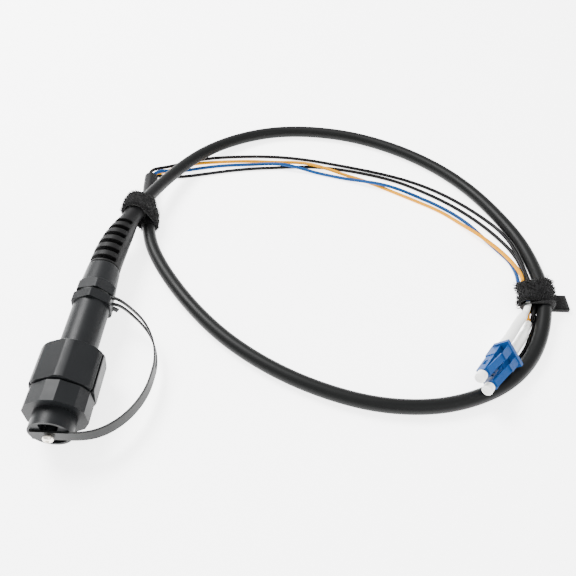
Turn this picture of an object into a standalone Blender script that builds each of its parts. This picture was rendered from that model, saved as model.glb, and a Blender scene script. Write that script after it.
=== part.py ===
"""Outdoor fibre optic patch cable: a rugged round plug with its dust cap, a 7 mm cable laid
in one loose loop, a breakout into four thin legs and a duplex connector with small caps.

The cable lies on a floor at Z = 0. +Y runs along the plug, from its dust cap to its boot.
All sizes are in metres. Run with: blender --background --python part.py
"""
import math

import bmesh
import bpy
import numpy as np
from mathutils import Matrix, Vector

# Clearances
GAP = 0.0003            # air between two separate pieces that touch on the real object
CLEARANCE = 0.0003      # radial air around what turns, slides or threads in
ROUND_STEPS = 24        # corners of a large round piece
NUT_STEPS = 36
CAP_STEPS = 30
SMALL_STEPS = 14        # corners of a small round piece

# Cable and its legs
CABLE_DIAMETER = 0.0070
SLEEVE_DIAMETER = 0.0078
SLEEVE_SPACING = 0.0060
LEG_DIAMETER = 0.0020
CABLE_SPACING = 0.0120  # distance between the read points of the cable's tube
LEG_SPACING = 0.0054

# Plug: stations run along its axis from the seat of the cap's screw
PLUG_X = -0.1100
PLUG_FRONT_Y = -0.1197
NUT_DIAMETER = 0.0290
PLUG_Z = NUT_DIAMETER / 2

# Dust cap
CAP_NECK_DIAMETER = 0.0182
CAP_NECK_WALL = 0.0013
CAP_RIM_STATION = 0.0030
CAP_RECESS_DEPTH = 0.0035
CAP_WEB_SIDE = 0.0030           # from the axis to the web that fills the recess on one side
CAP_BOSS_DIAMETER = 0.0048
CAP_END_WALL = 0.0024
CAP_RING_STATION = 0.0106
CAP_RING_LENGTH = 0.0097
CAP_RING_FLATS = 0.0260         # across the six flats
CAP_RING_CORNERS = 0.0268       # across the six corner facets
CAP_RING_TURN = math.radians(30.5)
CAP_START = CAP_RING_TURN + math.radians(18)    # the first corner between a flat and a facet
CAP_RING_CHAMFER = 0.0006
CAP_SKIRT_LENGTH = 0.0124
CAP_SKIRT_WALL = 0.0021
CAP_TRAVEL_CLEAR = 0.0006

# Cap screw
SCREW_HEAD_DIAMETER = 0.0046
SCREW_HEAD_HEIGHT = 0.0018
SCREW_STATION = 0.0013          # where the head bears on the lanyard
SCREW_SHANK_DIAMETER = 0.0022
SCREW_SHANK_LENGTH = 0.0050
SCREW_DRIVE_DIAMETER = 0.0018
SCREW_DRIVE_DEPTH = 0.0009

# Lanyard between the cap and the plug's flange
LANYARD_WIDTH = 0.0058
LANYARD_THICKNESS = 0.0009
LANYARD_SPACING = 0.0030
LANYARD_STRAND_WIDTH = 0.0016
LANYARD_STRAND_SPREAD = 0.0030   # height of a strand over the band's middle, at its widest
LANYARD_STRAND_ROOT = 0.0024     # the same height at the clamped ring
LANYARD_RING_DIAMETER = 0.0176
LANYARD_TAB_WIDTH = 0.0024
LANYARD_TAB_REACH = 0.0126       # from the plug's axis to the end of the loose tab
LANYARD_TAB_ANGLE = math.radians(128)

# Coupling nut
NUT_LENGTH = 0.0196
NUT_FRONT_GAP = 0.0008
NUT_PADS = 6
NUT_PAD_DEPTH = 0.0009
NUT_PAD_TURN = math.radians(-21.5)
NUT_CHAMFER = 0.0008
NUT_BACK_WALL = 0.0034

# Plug body
TUBE_DIAMETER = 0.0170
NOSE_STATION = 0.0140
SHOULDER_LENGTH = 0.0036
FLANGE_STATION = 0.0690
FLANGE_LENGTH = 0.0048
FLANGE_FLATS = 0.0180
FLANGE_TURN = math.radians(37)
FLANGE_CHAMFER = 0.0003
THREAD_DIAMETER = 0.0122
THREAD_LENGTH = 0.0066
FERRULE_DIAMETER = 0.00125
FERRULE_LENGTH = 0.0040
FERRULE_PITCH = 0.00625

# Gland nut
GLAND_HEX_FLATS = 0.0176
GLAND_HEX_LENGTH = 0.0052
GLAND_TURN = math.radians(47)
GLAND_LENGTH = 0.0185
GLAND_BACK_DIAMETER = 0.0160
GLAND_CHAMFER = 0.0004

# Cable boot
BOOT_LENGTH = 0.0450
BOOT_ROOT_DIAMETER = 0.0158
BOOT_TIP_DIAMETER = 0.0100
BOOT_WAIST_SHARE = 0.84         # where along the boot its taper ends
BOOT_TAPER_POWER = 3.0          # above 1, the boot stays full near its root
BOOT_LEAN_RATE = 3.309          # per metre: sideways shift over the squared length
BOOT_ROOT_RING = 0.0013
SLOT_COUNT = 6
SLOT_PITCH = 0.00576
SLOT_WIDTH = 0.0027
SLOT_FROM = math.radians(-132)
SLOT_TO = math.radians(56)

# Hook-and-loop ties
TIE_A_WIDTH = 0.0120
TIE_B_WIDTH = 0.0140
TIE_THICKNESS = 0.0012
TIE_STEPS = 28
TIE_TAIL_LENGTH = 0.0084
TIE_TAIL_WIDTH = 0.0095
TIE_TAIL_THICKNESS = 0.0022

# Duplex connector: its own frame starts at the middle of its front, +Y towards its boots
DUPLEX_FRONT = (0.0707, -0.0836, 0.0139)
DUPLEX_HEADING = math.radians(-34.2)
DUPLEX_PITCH = math.radians(-14.7)
DUPLEX_ROLL = math.radians(40.4)
LC_SPACING = 0.00625
HOUSING_SIZE = 0.0045
HOUSING_LENGTH = 0.0130
SHELL_WIDTH = 0.0052
SHELL_LENGTH = 0.0090
SHELL_HEIGHT = 0.0052
LATCH_RISE = 0.0033
LATCH_THICKNESS = 0.0009
LATCH_FOOT_LENGTH = 0.0030
LATCH_START = 0.0009
LATCH_WIDTH = 0.0034
LC_BORE_DIAMETER = 0.0038
LC_BORE_DEPTH = 0.0068
CLIP_LENGTH = 0.0022
CLIP_CHEEK = 0.0006
CLIP_TOP_HEIGHT = 0.0068
CLIP_CHEEK_DROP = 0.0010
TRIGGER_WIDTH = 0.0036
TRIGGER_LENGTH = 0.0074
TRIGGER_THICKNESS = 0.0009
TRIGGER_FALL = 0.0006
LC_CAP_DIAMETER = 0.0048
LC_CAP_LENGTH = 0.0036
LC_CAP_SLEEVE_DIAMETER = 0.0030
LC_CAP_SLEEVE_LENGTH = 0.0058
LC_CAP_DISH = 0.0004
LC_BOOT_ROOT_DIAMETER = 0.0048
LC_BOOT_TIP_DIAMETER = 0.0032

# Routes: points chosen by hand, in metres
CABLE_ROUTE = [
    (-0.1100, -0.0374, 0.0145), (-0.1100, -0.0253, 0.0145), (-0.1096, -0.0153, 0.0145),
    (-0.1086, -0.0053, 0.0145), (-0.1070, 0.0047, 0.0145), (-0.1040, 0.0171, 0.0145),
    (-0.1011, 0.0268, 0.0142), (-0.0962, 0.0433, 0.0119), (-0.0884, 0.0641, 0.0087),
    (-0.0768, 0.0840, 0.0067), (-0.0628, 0.0989, 0.0052), (-0.0470, 0.1093, 0.0041),
    (-0.0310, 0.1150, 0.0036), (-0.0145, 0.1167, 0.0035), (0.0020, 0.1155, 0.0035),
    (0.0185, 0.1118, 0.0035), (0.0345, 0.1055, 0.0035), (0.0500, 0.0968, 0.0035),
    (0.0648, 0.0857, 0.0035), (0.0787, 0.0717, 0.0035), (0.0914, 0.0539, 0.0035),
    (0.1018, 0.0333, 0.0035), (0.1081, 0.0165, 0.0035), (0.1113, -0.0004, 0.0038),
    (0.1120, -0.0127, 0.0046), (0.1118, -0.0207, 0.0051), (0.1111, -0.0282, 0.0052),
    (0.1098, -0.0352, 0.0051), (0.1086, -0.0399, 0.0048), (0.1050, -0.0501, 0.0039),
    (0.1001, -0.0596, 0.0035), (0.0928, -0.0694, 0.0035),
    (0.0820, -0.0789, 0.0035), (0.0700, -0.0854, 0.0035), (0.0560, -0.0900, 0.0035),
    (0.0400, -0.0919, 0.0035), (0.0230, -0.0908, 0.0035), (0.0050, -0.0863, 0.0035),
    (-0.0130, -0.0790, 0.0035), (-0.0309, -0.0688, 0.0035), (-0.0479, -0.0558, 0.0035),
    (-0.0629, -0.0407, 0.0036), (-0.0759, -0.0246, 0.0038), (-0.0868, -0.0083, 0.0043),
    (-0.0936, 0.0053, 0.0050), (-0.0970, 0.0161, 0.0055),
]
SLEEVE_ROUTE = [
    (-0.0972, 0.0167, 0.0055), (-0.0998, 0.0293, 0.0055), (-0.1018, 0.0413, 0.0047),
    (-0.1034, 0.0523, 0.0042), (-0.1045, 0.0631, 0.0042),
]
YELLOW_ROUTE = [
    (-0.1058, 0.0642, 0.0030), (-0.1038, 0.0691, 0.0019), (-0.0985, 0.0731, 0.0011),
    (-0.0910, 0.0777, 0.0010), (-0.0820, 0.0816, 0.0010), (-0.0705, 0.0839, 0.0010),
    (-0.0587, 0.0853, 0.0010), (-0.0428, 0.0861, 0.0010), (-0.0275, 0.0853, 0.0014),
    (-0.0165, 0.0836, 0.0027), (-0.0080, 0.0815, 0.0033), (0.0020, 0.0786, 0.0026),
    (0.0140, 0.0743, 0.0012), (0.0265, 0.0686, 0.0010), (0.0370, 0.0625, 0.0010),
    (0.0470, 0.0563, 0.0010), (0.0581, 0.0493, 0.0010), (0.0696, 0.0412, 0.0010),
    (0.0762, 0.0348, 0.0011), (0.0812, 0.0279, 0.0023), (0.0856, 0.0220, 0.0033),
    (0.0904, 0.0165, 0.0033), (0.0960, 0.0090, 0.0033), (0.1004, 0.0014, 0.0033),
    (0.1023, -0.0028, 0.0033), (0.1036, -0.0066, 0.0033), (0.1044, -0.0105, 0.0032),
    (0.1043, -0.0150, 0.0030), (0.1041, -0.0200, 0.0026),
    (0.1040, -0.0282, 0.0026), (0.1034, -0.0327, 0.0027), (0.1022, -0.0362, 0.0031),
    (0.1011, -0.0392, 0.0038), (0.1006, -0.0425, 0.0045),
]
BLUE_ROUTE = [
    (-0.1034, 0.0642, 0.0054), (-0.1010, 0.0683, 0.0047), (-0.0960, 0.0715, 0.0031),
    (-0.0890, 0.0739, 0.0014), (-0.0800, 0.0766, 0.0010), (-0.0700, 0.0793, 0.0010),
    (-0.0584, 0.0814, 0.0010), (-0.0450, 0.0823, 0.0013), (-0.0330, 0.0817, 0.0026),
    (-0.0240, 0.0804, 0.0033), (-0.0140, 0.0784, 0.0024), (-0.0040, 0.0758, 0.0012),
    (0.0060, 0.0728, 0.0010), (0.0180, 0.0690, 0.0016), (0.0290, 0.0653, 0.0029),
    (0.0370, 0.0625, 0.0034), (0.0472, 0.0590, 0.0025), (0.0587, 0.0536, 0.0011),
    (0.0702, 0.0454, 0.0010), (0.0806, 0.0353, 0.0010), (0.0859, 0.0280, 0.0010),
    (0.0905, 0.0200, 0.0010), (0.0940, 0.0141, 0.0010), (0.0989, 0.0062, 0.0010),
    (0.1009, 0.0024, 0.0010), (0.1022, -0.0018, 0.0010), (0.1029, -0.0062, 0.0010),
    (0.1029, -0.0104, 0.0011), (0.1023, -0.0142, 0.0018), (0.1020, -0.0180, 0.0031),
    (0.1025, -0.0215, 0.0043),
    (0.1031, -0.0262, 0.0053), (0.1028, -0.0312, 0.0055),
]
UPPER_BLACK_ROUTE = [
    (-0.1058, 0.0642, 0.0054), (-0.1049, 0.0695, 0.0047), (-0.1003, 0.0751, 0.0026),
    (-0.0926, 0.0801, 0.0011), (-0.0850, 0.0838, 0.0010), (-0.0760, 0.0870, 0.0010),
    (-0.0590, 0.0900, 0.0010), (-0.0400, 0.0913, 0.0010), (-0.0140, 0.0895, 0.0010),
    (0.0080, 0.0845, 0.0010), (0.0300, 0.0783, 0.0010), (0.0483, 0.0717, 0.0010),
    (0.0600, 0.0659, 0.0010), (0.0718, 0.0580, 0.0010), (0.0825, 0.0486, 0.0010),
    (0.0920, 0.0382, 0.0010), (0.0990, 0.0278, 0.0016), (0.1029, 0.0173, 0.0028),
    (0.1051, 0.0073, 0.0033), (0.1063, -0.0027, 0.0037), (0.1066, -0.0117, 0.0044),
    (0.1065, -0.0207, 0.0051), (0.1062, -0.0267, 0.0052), (0.1057, -0.0313, 0.0052),
    (0.1049, -0.0347, 0.0050), (0.1040, -0.0379, 0.0040), (0.1029, -0.0409, 0.0026),
    (0.1009, -0.0443, 0.0012), (0.0989, -0.0477, 0.0010), (0.0964, -0.0519, 0.0010),
    (0.0935, -0.0569, 0.0010), (0.0900, -0.0617, 0.0010),
]
LOWER_BLACK_ROUTE = [
    (-0.1034, 0.0642, 0.0030), (-0.1010, 0.0674, 0.0021), (-0.0968, 0.0686, 0.0012),
    (-0.0900, 0.0685, 0.0010), (-0.0760, 0.0711, 0.0010), (-0.0580, 0.0757, 0.0010),
    (-0.0422, 0.0786, 0.0010), (-0.0297, 0.0800, 0.0010), (-0.0180, 0.0811, 0.0010),
    (-0.0060, 0.0815, 0.0010), (0.0080, 0.0801, 0.0010), (0.0290, 0.0750, 0.0010),
    (0.0478, 0.0676, 0.0010), (0.0594, 0.0605, 0.0010), (0.0710, 0.0520, 0.0010),
    (0.0816, 0.0423, 0.0010), (0.0914, 0.0309, 0.0010), (0.0994, 0.0188, 0.0010),
    (0.1042, 0.0088, 0.0010), (0.1063, 0.0003, 0.0010), (0.1068, -0.0077, 0.0013),
    (0.1065, -0.0147, 0.0021), (0.1065, -0.0212, 0.0027), (0.1063, -0.0282, 0.0027),
    (0.1056, -0.0347, 0.0025), (0.1051, -0.0392, 0.0014), (0.1040, -0.0432, 0.0010),
    (0.1022, -0.0467, 0.0010), (0.1001, -0.0509, 0.0010), (0.0974, -0.0559, 0.0010),
    (0.0926, -0.0625, 0.0010),
]
LC_BOOT_A_ROUTE = [
    (0.0812, -0.0638, 0.0101), (0.0870, -0.0567, 0.0095), (0.0934, -0.0471, 0.0084),
    (0.0999, -0.0377, 0.0068), (0.1027, -0.0316, 0.0055),
]
LC_BOOT_B_ROUTE = [
    (0.0847, -0.0673, 0.0062), (0.0880, -0.0627, 0.0057), (0.0925, -0.0567, 0.0053),
    (0.0969, -0.0501, 0.0049), (0.1005, -0.0428, 0.0045),
]
LANYARD_ROUTE = [
    (-0.1176, -0.1177, 0.0145), (-0.1100, -0.1177, 0.0145), (-0.1010, -0.1177, 0.0142),
    (-0.0930, -0.1159, 0.0130), (-0.0850, -0.1097, 0.0110), (-0.0788, -0.0999, 0.0094),
    (-0.0758, -0.0897, 0.0085), (-0.0750, -0.0792, 0.0082), (-0.0763, -0.0702, 0.0084),
    (-0.0795, -0.0622, 0.0092), (-0.0845, -0.0553, 0.0106), (-0.0905, -0.0501, 0.0122),
    (-0.0957, -0.0467, 0.0136), (-0.0990, -0.0454, 0.0143), (-0.1020, -0.0451, 0.0145),
]
LANYARD_SLIT_START = 7      # route point where the band's slit begins

# Ties: where each one's middle lies, and the circles it wraps as x, z, radius, at evenly
# spaced stations along its width
TIE_A_Y = 0.0243
TIE_A_BUNDLES = [
    ((-0.1036, 0.0145, 0.0055), (-0.0976, 0.0056, 0.0039)),
    ((-0.1040, 0.0144, 0.0050), (-0.1018, 0.0142, 0.0037), (-0.0987, 0.0056, 0.0040)),
    ((-0.1036, 0.0140, 0.0047), (-0.1000, 0.0136, 0.0037), (-0.0998, 0.0056, 0.0040)),
]
TIE_B_Y = -0.0282
TIE_B_BUNDLES = [
    ((0.1098, 0.0051, 0.0035), (0.1028, 0.0028, 0.0011), (0.1010, 0.0062, 0.0020)),
    ((0.1111, 0.0052, 0.0035), (0.1040, 0.0027, 0.0011), (0.1032, 0.0053, 0.0015)),
    ((0.1118, 0.0051, 0.0035), (0.1041, 0.0027, 0.0011), (0.1022, 0.0040, 0.0011)),
]


def clear_scene():
    for item in list(bpy.data.objects):
        bpy.data.objects.remove(item, do_unlink=True)


def make_material(name, colour, roughness, metallic=0.0):
    material = bpy.data.materials.new(name)
    material.use_nodes = True
    shader = material.node_tree.nodes["Principled BSDF"]
    shader.inputs["Base Color"].default_value = (*colour, 1.0)
    shader.inputs["Roughness"].default_value = roughness
    shader.inputs["Metallic"].default_value = metallic
    return material


def add_piece(name, bm, material, frame=None):
    """Turn a bmesh into an object, under the empty that gives its frame."""
    bmesh.ops.recalc_face_normals(bm, faces=bm.faces)
    if bm.calc_volume(signed=True) < 0:
        bmesh.ops.reverse_faces(bm, faces=bm.faces)
    mesh = bpy.data.meshes.new(name)
    bm.to_mesh(mesh)
    bm.free()
    mesh.shade_smooth()
    mesh.set_sharp_from_angle(angle=math.radians(30))
    if material is not None:
        mesh.materials.append(material)
    piece = bpy.data.objects.new(name, mesh)
    bpy.context.collection.objects.link(piece)
    piece.parent = frame
    return piece


def add_frame(name, matrix):
    frame = bpy.data.objects.new(name, None)
    frame.matrix_world = matrix
    bpy.context.collection.objects.link(frame)
    return frame


def combine(piece, tools, operation):
    """Join tool shapes to a piece, or cut them out of it."""
    for tool in tools:
        tool.hide_render = True
        tool.display_type = "WIRE"
        modifier = piece.modifiers.new(operation.title(), "BOOLEAN")
        modifier.operation = operation
        modifier.solver = "EXACT"
        modifier.object = tool


# Round and nearly round pieces

def skin_loops(bm, loops, closed):
    """Bridge a stack of circles, then move each circle to the shape of its loop. A closed
    skin also joins the last loop to the first, and an open one has its two ends filled."""
    rings = []
    for level in range(len(loops)):
        made = bmesh.ops.create_circle(bm, cap_ends=False, radius=1.0, segments=len(loops[0]),
                                       matrix=Matrix.Translation((0.0, 0.0, level)))
        rings.append(made["verts"])
    edges = [list({edge for vert in ring for edge in vert.link_edges}) for ring in rings]
    pairs = list(zip(edges, edges[1:]))
    if closed:
        pairs.append((edges[-1], edges[0]))
    for first, second in pairs:
        bmesh.ops.bridge_loops(bm, edges=first + second)
    if not closed:
        bmesh.ops.contextual_create(bm, geom=edges[0])
        bmesh.ops.contextual_create(bm, geom=edges[-1])
    for ring, loop in zip(rings, loops):
        for vert, point in zip(ring, loop):
            vert.co = point


def around(radius, station, steps, start):
    """One loop about the local Z axis. The radius is a length, or a function of the angle,
    which is 0 upwards and grows to the right as seen from the plug's front."""
    points = []
    for i in range(steps):
        angle = start + 2 * math.pi * i / steps
        length = radius(angle) if callable(radius) else radius
        points.append((length * math.sin(angle), -length * math.cos(angle), station))
    return points


def turned(profile, steps, closed=False, start=0.0):
    """A piece whose section (radius, station) is carried round the local Z axis, with its
    first corner at the start angle."""
    bm = bmesh.new()
    skin_loops(bm, [around(radius, station, steps, start) for radius, station in profile], closed)
    return bm


def hexagon(flats, turn, corner_radius):
    """Radius of a hexagon with its corners turned down to a circle."""
    def radius(angle):
        part = (angle - turn + math.pi / 6) % (math.pi / 3) - math.pi / 6
        return min(flats / 2 / math.cos(part), corner_radius)
    return radius


def cap_ring_radius(shrink):
    """Outline of the dust cap's ring: a hexagon whose corners are cut by flat facets."""
    flat = CAP_RING_FLATS / 2 - shrink
    facet = CAP_RING_CORNERS / 2 - shrink

    def radius(angle):
        part = abs((angle - CAP_RING_TURN + math.pi / 6) % (math.pi / 3) - math.pi / 6)
        return min(flat / math.cos(part), facet / math.cos(math.pi / 6 - part))
    return radius


def nut_radius(shrink):
    """Outline of the coupling nut: a circle with flat grip pads milled into it."""
    outer = NUT_DIAMETER / 2 - shrink
    pad = NUT_DIAMETER / 2 - NUT_PAD_DEPTH - shrink
    sector = 2 * math.pi / NUT_PADS

    def radius(angle):
        part = (angle - NUT_PAD_TURN + sector / 2) % sector - sector / 2
        return min(pad / math.cos(part), outer)
    return radius


# Stations and radii that several plug pieces share
CAP_CAVITY_STATION = CAP_RIM_STATION + CAP_RECESS_DEPTH + CAP_END_WALL
CAP_RING_END = CAP_RING_STATION + CAP_RING_LENGTH
CAP_SKIRT_END = CAP_RING_END + CAP_SKIRT_LENGTH
NUT_STATION = CAP_RING_END + NUT_FRONT_GAP
NUT_END = NUT_STATION + NUT_LENGTH
SHOULDER_STATION = CAP_SKIRT_END + CAP_TRAVEL_CLEAR
SHOULDER_END = SHOULDER_STATION + SHOULDER_LENGTH
NUT_BORE = TUBE_DIAMETER / 2 + 0.0017
SHOULDER_RADIUS = NUT_BORE - CLEARANCE
SKIRT_RADIUS = NUT_BORE - 2 * CLEARANCE
SKIRT_BORE = SKIRT_RADIUS - CAP_SKIRT_WALL
NOSE_RADIUS = SKIRT_BORE - 2 * CLEARANCE
FLANGE_END = FLANGE_STATION + FLANGE_LENGTH
RING_STATION = FLANGE_END + GAP
RING_END = RING_STATION + LANYARD_THICKNESS
GLAND_STATION = RING_END + GAP
GLAND_END = GLAND_STATION + GLAND_LENGTH
THREAD_END = GLAND_STATION + THREAD_LENGTH
BOOT_STATION = GLAND_END + GAP
CABLE_BORE = CABLE_DIAMETER / 2 + CLEARANCE
STRAP_STATION = SCREW_STATION + GAP
BOSS_STATION = STRAP_STATION + LANYARD_THICKNESS + GAP
SCREW_BORE = SCREW_SHANK_DIAMETER / 2 + CLEARANCE
SCREW_BORE_END = SCREW_STATION + SCREW_SHANK_LENGTH + GAP


def dust_cap(frame, material):
    neck = CAP_NECK_DIAMETER / 2
    edge = 0.0003
    recess = CAP_RIM_STATION + CAP_RECESS_DEPTH
    profile = [
        (SCREW_BORE, SCREW_BORE_END),
        (SCREW_BORE, BOSS_STATION),
        (CAP_BOSS_DIAMETER / 2, BOSS_STATION),
        (CAP_BOSS_DIAMETER / 2, recess),
        (neck - CAP_NECK_WALL, recess),
        (neck - CAP_NECK_WALL, CAP_RIM_STATION),
        (neck - edge, CAP_RIM_STATION),
        (neck, CAP_RIM_STATION + edge),
        (neck, CAP_RING_STATION),
        (cap_ring_radius(CAP_RING_CHAMFER), CAP_RING_STATION),
        (cap_ring_radius(0.0), CAP_RING_STATION + CAP_RING_CHAMFER),
        (cap_ring_radius(0.0), CAP_RING_END - CAP_RING_CHAMFER),
        (cap_ring_radius(CAP_RING_CHAMFER), CAP_RING_END),
        (SKIRT_RADIUS, CAP_RING_END),
        (SKIRT_RADIUS, CAP_SKIRT_END),
        (SKIRT_BORE, CAP_SKIRT_END),
        (SKIRT_BORE, CAP_CAVITY_STATION),
    ]
    cap = add_piece("dust_cap", turned(profile, CAP_STEPS, start=CAP_START), material, frame)
    combine(cap, [cap_web(frame)], "UNION")
    return cap


def cap_web(frame):
    """Web that fills the recess at one side, flush with the cap's rim."""
    reach = CAP_NECK_DIAMETER / 2 - CAP_NECK_WALL / 2
    opening = math.acos(CAP_WEB_SIDE / reach)
    steps = 10
    arc = [math.pi - opening + 2 * opening * i / steps for i in range(steps + 1)]
    section = [(reach * math.cos(angle), reach * math.sin(angle)) for angle in arc]
    bm = bmesh.new()
    skin_loops(bm, [[(x, y, station) for x, y in section]
                    for station in (CAP_RIM_STATION, CAP_RIM_STATION + CAP_RECESS_DEPTH + GAP)],
               closed=False)
    return add_piece("cap_web_part", bm, None, frame)


def cap_screw(frame, material):
    head = SCREW_HEAD_DIAMETER / 2
    shank = SCREW_SHANK_DIAMETER / 2
    drive = SCREW_DRIVE_DIAMETER / 2
    top = SCREW_STATION - SCREW_HEAD_HEIGHT
    profile = [
        (drive * 0.8, top + SCREW_DRIVE_DEPTH),
        (drive, top),
        (head * 0.62, top),
        (head * 0.86, top + SCREW_HEAD_HEIGHT * 0.28),
        (head, top + SCREW_HEAD_HEIGHT * 0.70),
        (head, SCREW_STATION),
        (shank, SCREW_STATION),
        (shank, SCREW_STATION + SCREW_SHANK_LENGTH),
    ]
    return add_piece("cap_screw", turned(profile, SMALL_STEPS), material, frame)


def coupling_nut(frame, material):
    wall_bore = TUBE_DIAMETER / 2 + CLEARANCE
    wall_station = NUT_END - NUT_BACK_WALL
    lead = NUT_CHAMFER / 2
    profile = [
        (NUT_BORE + lead, NUT_STATION),
        (nut_radius(NUT_CHAMFER), NUT_STATION),
        (nut_radius(0.0), NUT_STATION + NUT_CHAMFER),
        (nut_radius(0.0), NUT_END - NUT_CHAMFER),
        (nut_radius(NUT_CHAMFER), NUT_END),
        (wall_bore, NUT_END),
        (wall_bore, wall_station),
        (NUT_BORE, wall_station),
        (NUT_BORE, NUT_STATION + lead),
    ]
    return add_piece("coupling_nut", turned(profile, NUT_STEPS, closed=True, start=NUT_PAD_TURN),
                     material, frame)


def plug_body(frame, material):
    tube = TUBE_DIAMETER / 2
    thread = THREAD_DIAMETER / 2
    edge = 0.0003
    corners = FLANGE_FLATS / 2 / math.cos(math.pi / 6) - FLANGE_CHAMFER
    hex_full = hexagon(FLANGE_FLATS, FLANGE_TURN, corners)
    hex_end = hexagon(FLANGE_FLATS - 2 * FLANGE_CHAMFER, FLANGE_TURN, corners - FLANGE_CHAMFER)
    shoulder_end = NUT_END - NUT_BACK_WALL - GAP
    profile = [
        (NOSE_RADIUS - edge, NOSE_STATION),
        (NOSE_RADIUS, NOSE_STATION + edge),
        (NOSE_RADIUS, SHOULDER_STATION),
        (SHOULDER_RADIUS, SHOULDER_STATION),
        (SHOULDER_RADIUS, min(SHOULDER_END, shoulder_end)),
        (tube, min(SHOULDER_END, shoulder_end)),
        (tube, FLANGE_STATION),
        (hex_end, FLANGE_STATION),
        (hex_full, FLANGE_STATION + FLANGE_CHAMFER),
        (hex_full, FLANGE_END - FLANGE_CHAMFER),
        (hex_end, FLANGE_END),
        (thread, FLANGE_END),
        (thread, THREAD_END),
    ]
    return add_piece("plug_body", turned(profile, ROUND_STEPS, start=FLANGE_TURN), material, frame)


def plug_ferrule(name, side, frame, material):
    end = FERRULE_DIAMETER / 2
    edge = 0.0001
    profile = [
        (end - edge, NOSE_STATION - GAP - FERRULE_LENGTH),
        (end, NOSE_STATION - GAP - FERRULE_LENGTH + edge),
        (end, NOSE_STATION - GAP),
    ]
    bm = turned(profile, SMALL_STEPS)
    bmesh.ops.translate(bm, vec=(side * FERRULE_PITCH / 2, 0.0, 0.0), verts=bm.verts)
    return add_piece(name, bm, material, frame)


def gland_nut(frame, material):
    back = GLAND_BACK_DIAMETER / 2
    front = GLAND_HEX_FLATS / 2
    corner = front / math.cos(math.pi / 6) - GLAND_CHAMFER
    full = hexagon(GLAND_HEX_FLATS, GLAND_TURN, corner)
    end = hexagon(GLAND_HEX_FLATS - 2 * GLAND_CHAMFER, GLAND_TURN, corner - GLAND_CHAMFER)
    hex_end = GLAND_STATION + GLAND_HEX_LENGTH
    slope = 0.0014
    bore = THREAD_DIAMETER / 2 + CLEARANCE
    profile = [
        (bore, GLAND_STATION),
        (end, GLAND_STATION),
        (full, GLAND_STATION + GLAND_CHAMFER),
        (full, hex_end),
        (front - GLAND_CHAMFER / 2, hex_end + slope),
        (back, GLAND_END - GLAND_CHAMFER),
        (back - GLAND_CHAMFER, GLAND_END),
        (CABLE_BORE, GLAND_END),
        (CABLE_BORE, THREAD_END + GAP),
        (bore, THREAD_END + GAP),
    ]
    return add_piece("gland_nut", turned(profile, ROUND_STEPS, closed=True, start=GLAND_TURN),
                     material, frame)


# Cable boot

def bend_sideways(bm):
    """Lean the boot towards the side that the cable leaves to, more towards its tip."""
    for vert in bm.verts:
        vert.co.x += BOOT_LEAN_RATE * max(0.0, vert.co.z - BOOT_STATION) ** 2


def boot_radius(share):
    taper = min(1.0, share / BOOT_WAIST_SHARE)
    return (BOOT_ROOT_DIAMETER
            + (BOOT_TIP_DIAMETER - BOOT_ROOT_DIAMETER) * taper ** BOOT_TAPER_POWER) / 2


def cable_boot(frame, material):
    sections = 8
    edge = 0.0006
    end = BOOT_STATION + BOOT_LENGTH
    profile = [(CABLE_BORE, BOOT_STATION)]
    for i in range(sections):
        share = i / sections
        profile.append((boot_radius(share), BOOT_STATION + share * BOOT_LENGTH))
    profile.append((boot_radius(1.0), end - edge))
    profile.append((boot_radius(1.0) - edge, end))
    for i in range(sections):
        share = 1 - i / sections
        profile.append((CABLE_BORE, BOOT_STATION + share * BOOT_LENGTH))
    bm = turned(profile, ROUND_STEPS, closed=True)
    bend_sideways(bm)
    boot = add_piece("cable_boot", bm, material, frame)
    combine(boot, [boot_slots(frame)], "DIFFERENCE")
    return boot


def boot_slots(frame):
    """Wedges that cut the slots, from inside the bore to outside the boot's skin."""
    inner = CABLE_BORE * 0.8
    outer = BOOT_ROOT_DIAMETER * 0.62
    steps = 9
    bm = bmesh.new()
    for i in range(SLOT_COUNT):
        low = BOOT_STATION + BOOT_ROOT_RING + i * SLOT_PITCH
        loops = []
        for k in range(steps + 1):
            angle = SLOT_FROM + (SLOT_TO - SLOT_FROM) * k / steps
            side, up = math.sin(angle), -math.cos(angle)
            loops.append([(inner * side, inner * up, low), (outer * side, outer * up, low),
                          (outer * side, outer * up, low + SLOT_WIDTH),
                          (inner * side, inner * up, low + SLOT_WIDTH)])
        skin_loops(bm, loops, closed=False)
    bend_sideways(bm)
    return add_piece("boot_slot_cutter", bm, None, frame)


# Cords

def read_route(route, spacing, lowest=0.0):
    """Evenly spaced points on one natural cubic spline through the route's points, none of
    them lower than the given height."""
    points = np.array(route, float)
    steps = np.linalg.norm(np.diff(points, axis=0), axis=1)
    knots = np.concatenate(([0.0], np.cumsum(steps)))
    count = len(points)
    matrix = np.eye(count)
    right = np.zeros((count, 3))
    for i in range(1, count - 1):
        matrix[i, i - 1] = steps[i - 1]
        matrix[i, i] = 2 * (steps[i - 1] + steps[i])
        matrix[i, i + 1] = steps[i]
        right[i] = 6 * ((points[i + 1] - points[i]) / steps[i]
                        - (points[i] - points[i - 1]) / steps[i - 1])
    bends = np.linalg.solve(matrix, right)
    number = max(2, round(knots[-1] / spacing) + 1)
    result = []
    for at in np.linspace(0.0, knots[-1], number):
        i = min(int(np.searchsorted(knots, at, side="right")) - 1, count - 2)
        before, after, step = at - knots[i], knots[i + 1] - at, steps[i]
        result.append((bends[i] * after ** 3 + bends[i + 1] * before ** 3) / (6 * step)
                      + (points[i] / step - bends[i] * step / 6) * after
                      + (points[i + 1] / step - bends[i + 1] * step / 6) * before)
    return [Vector((x, y, max(z, lowest))) for x, y, z in result]


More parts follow.
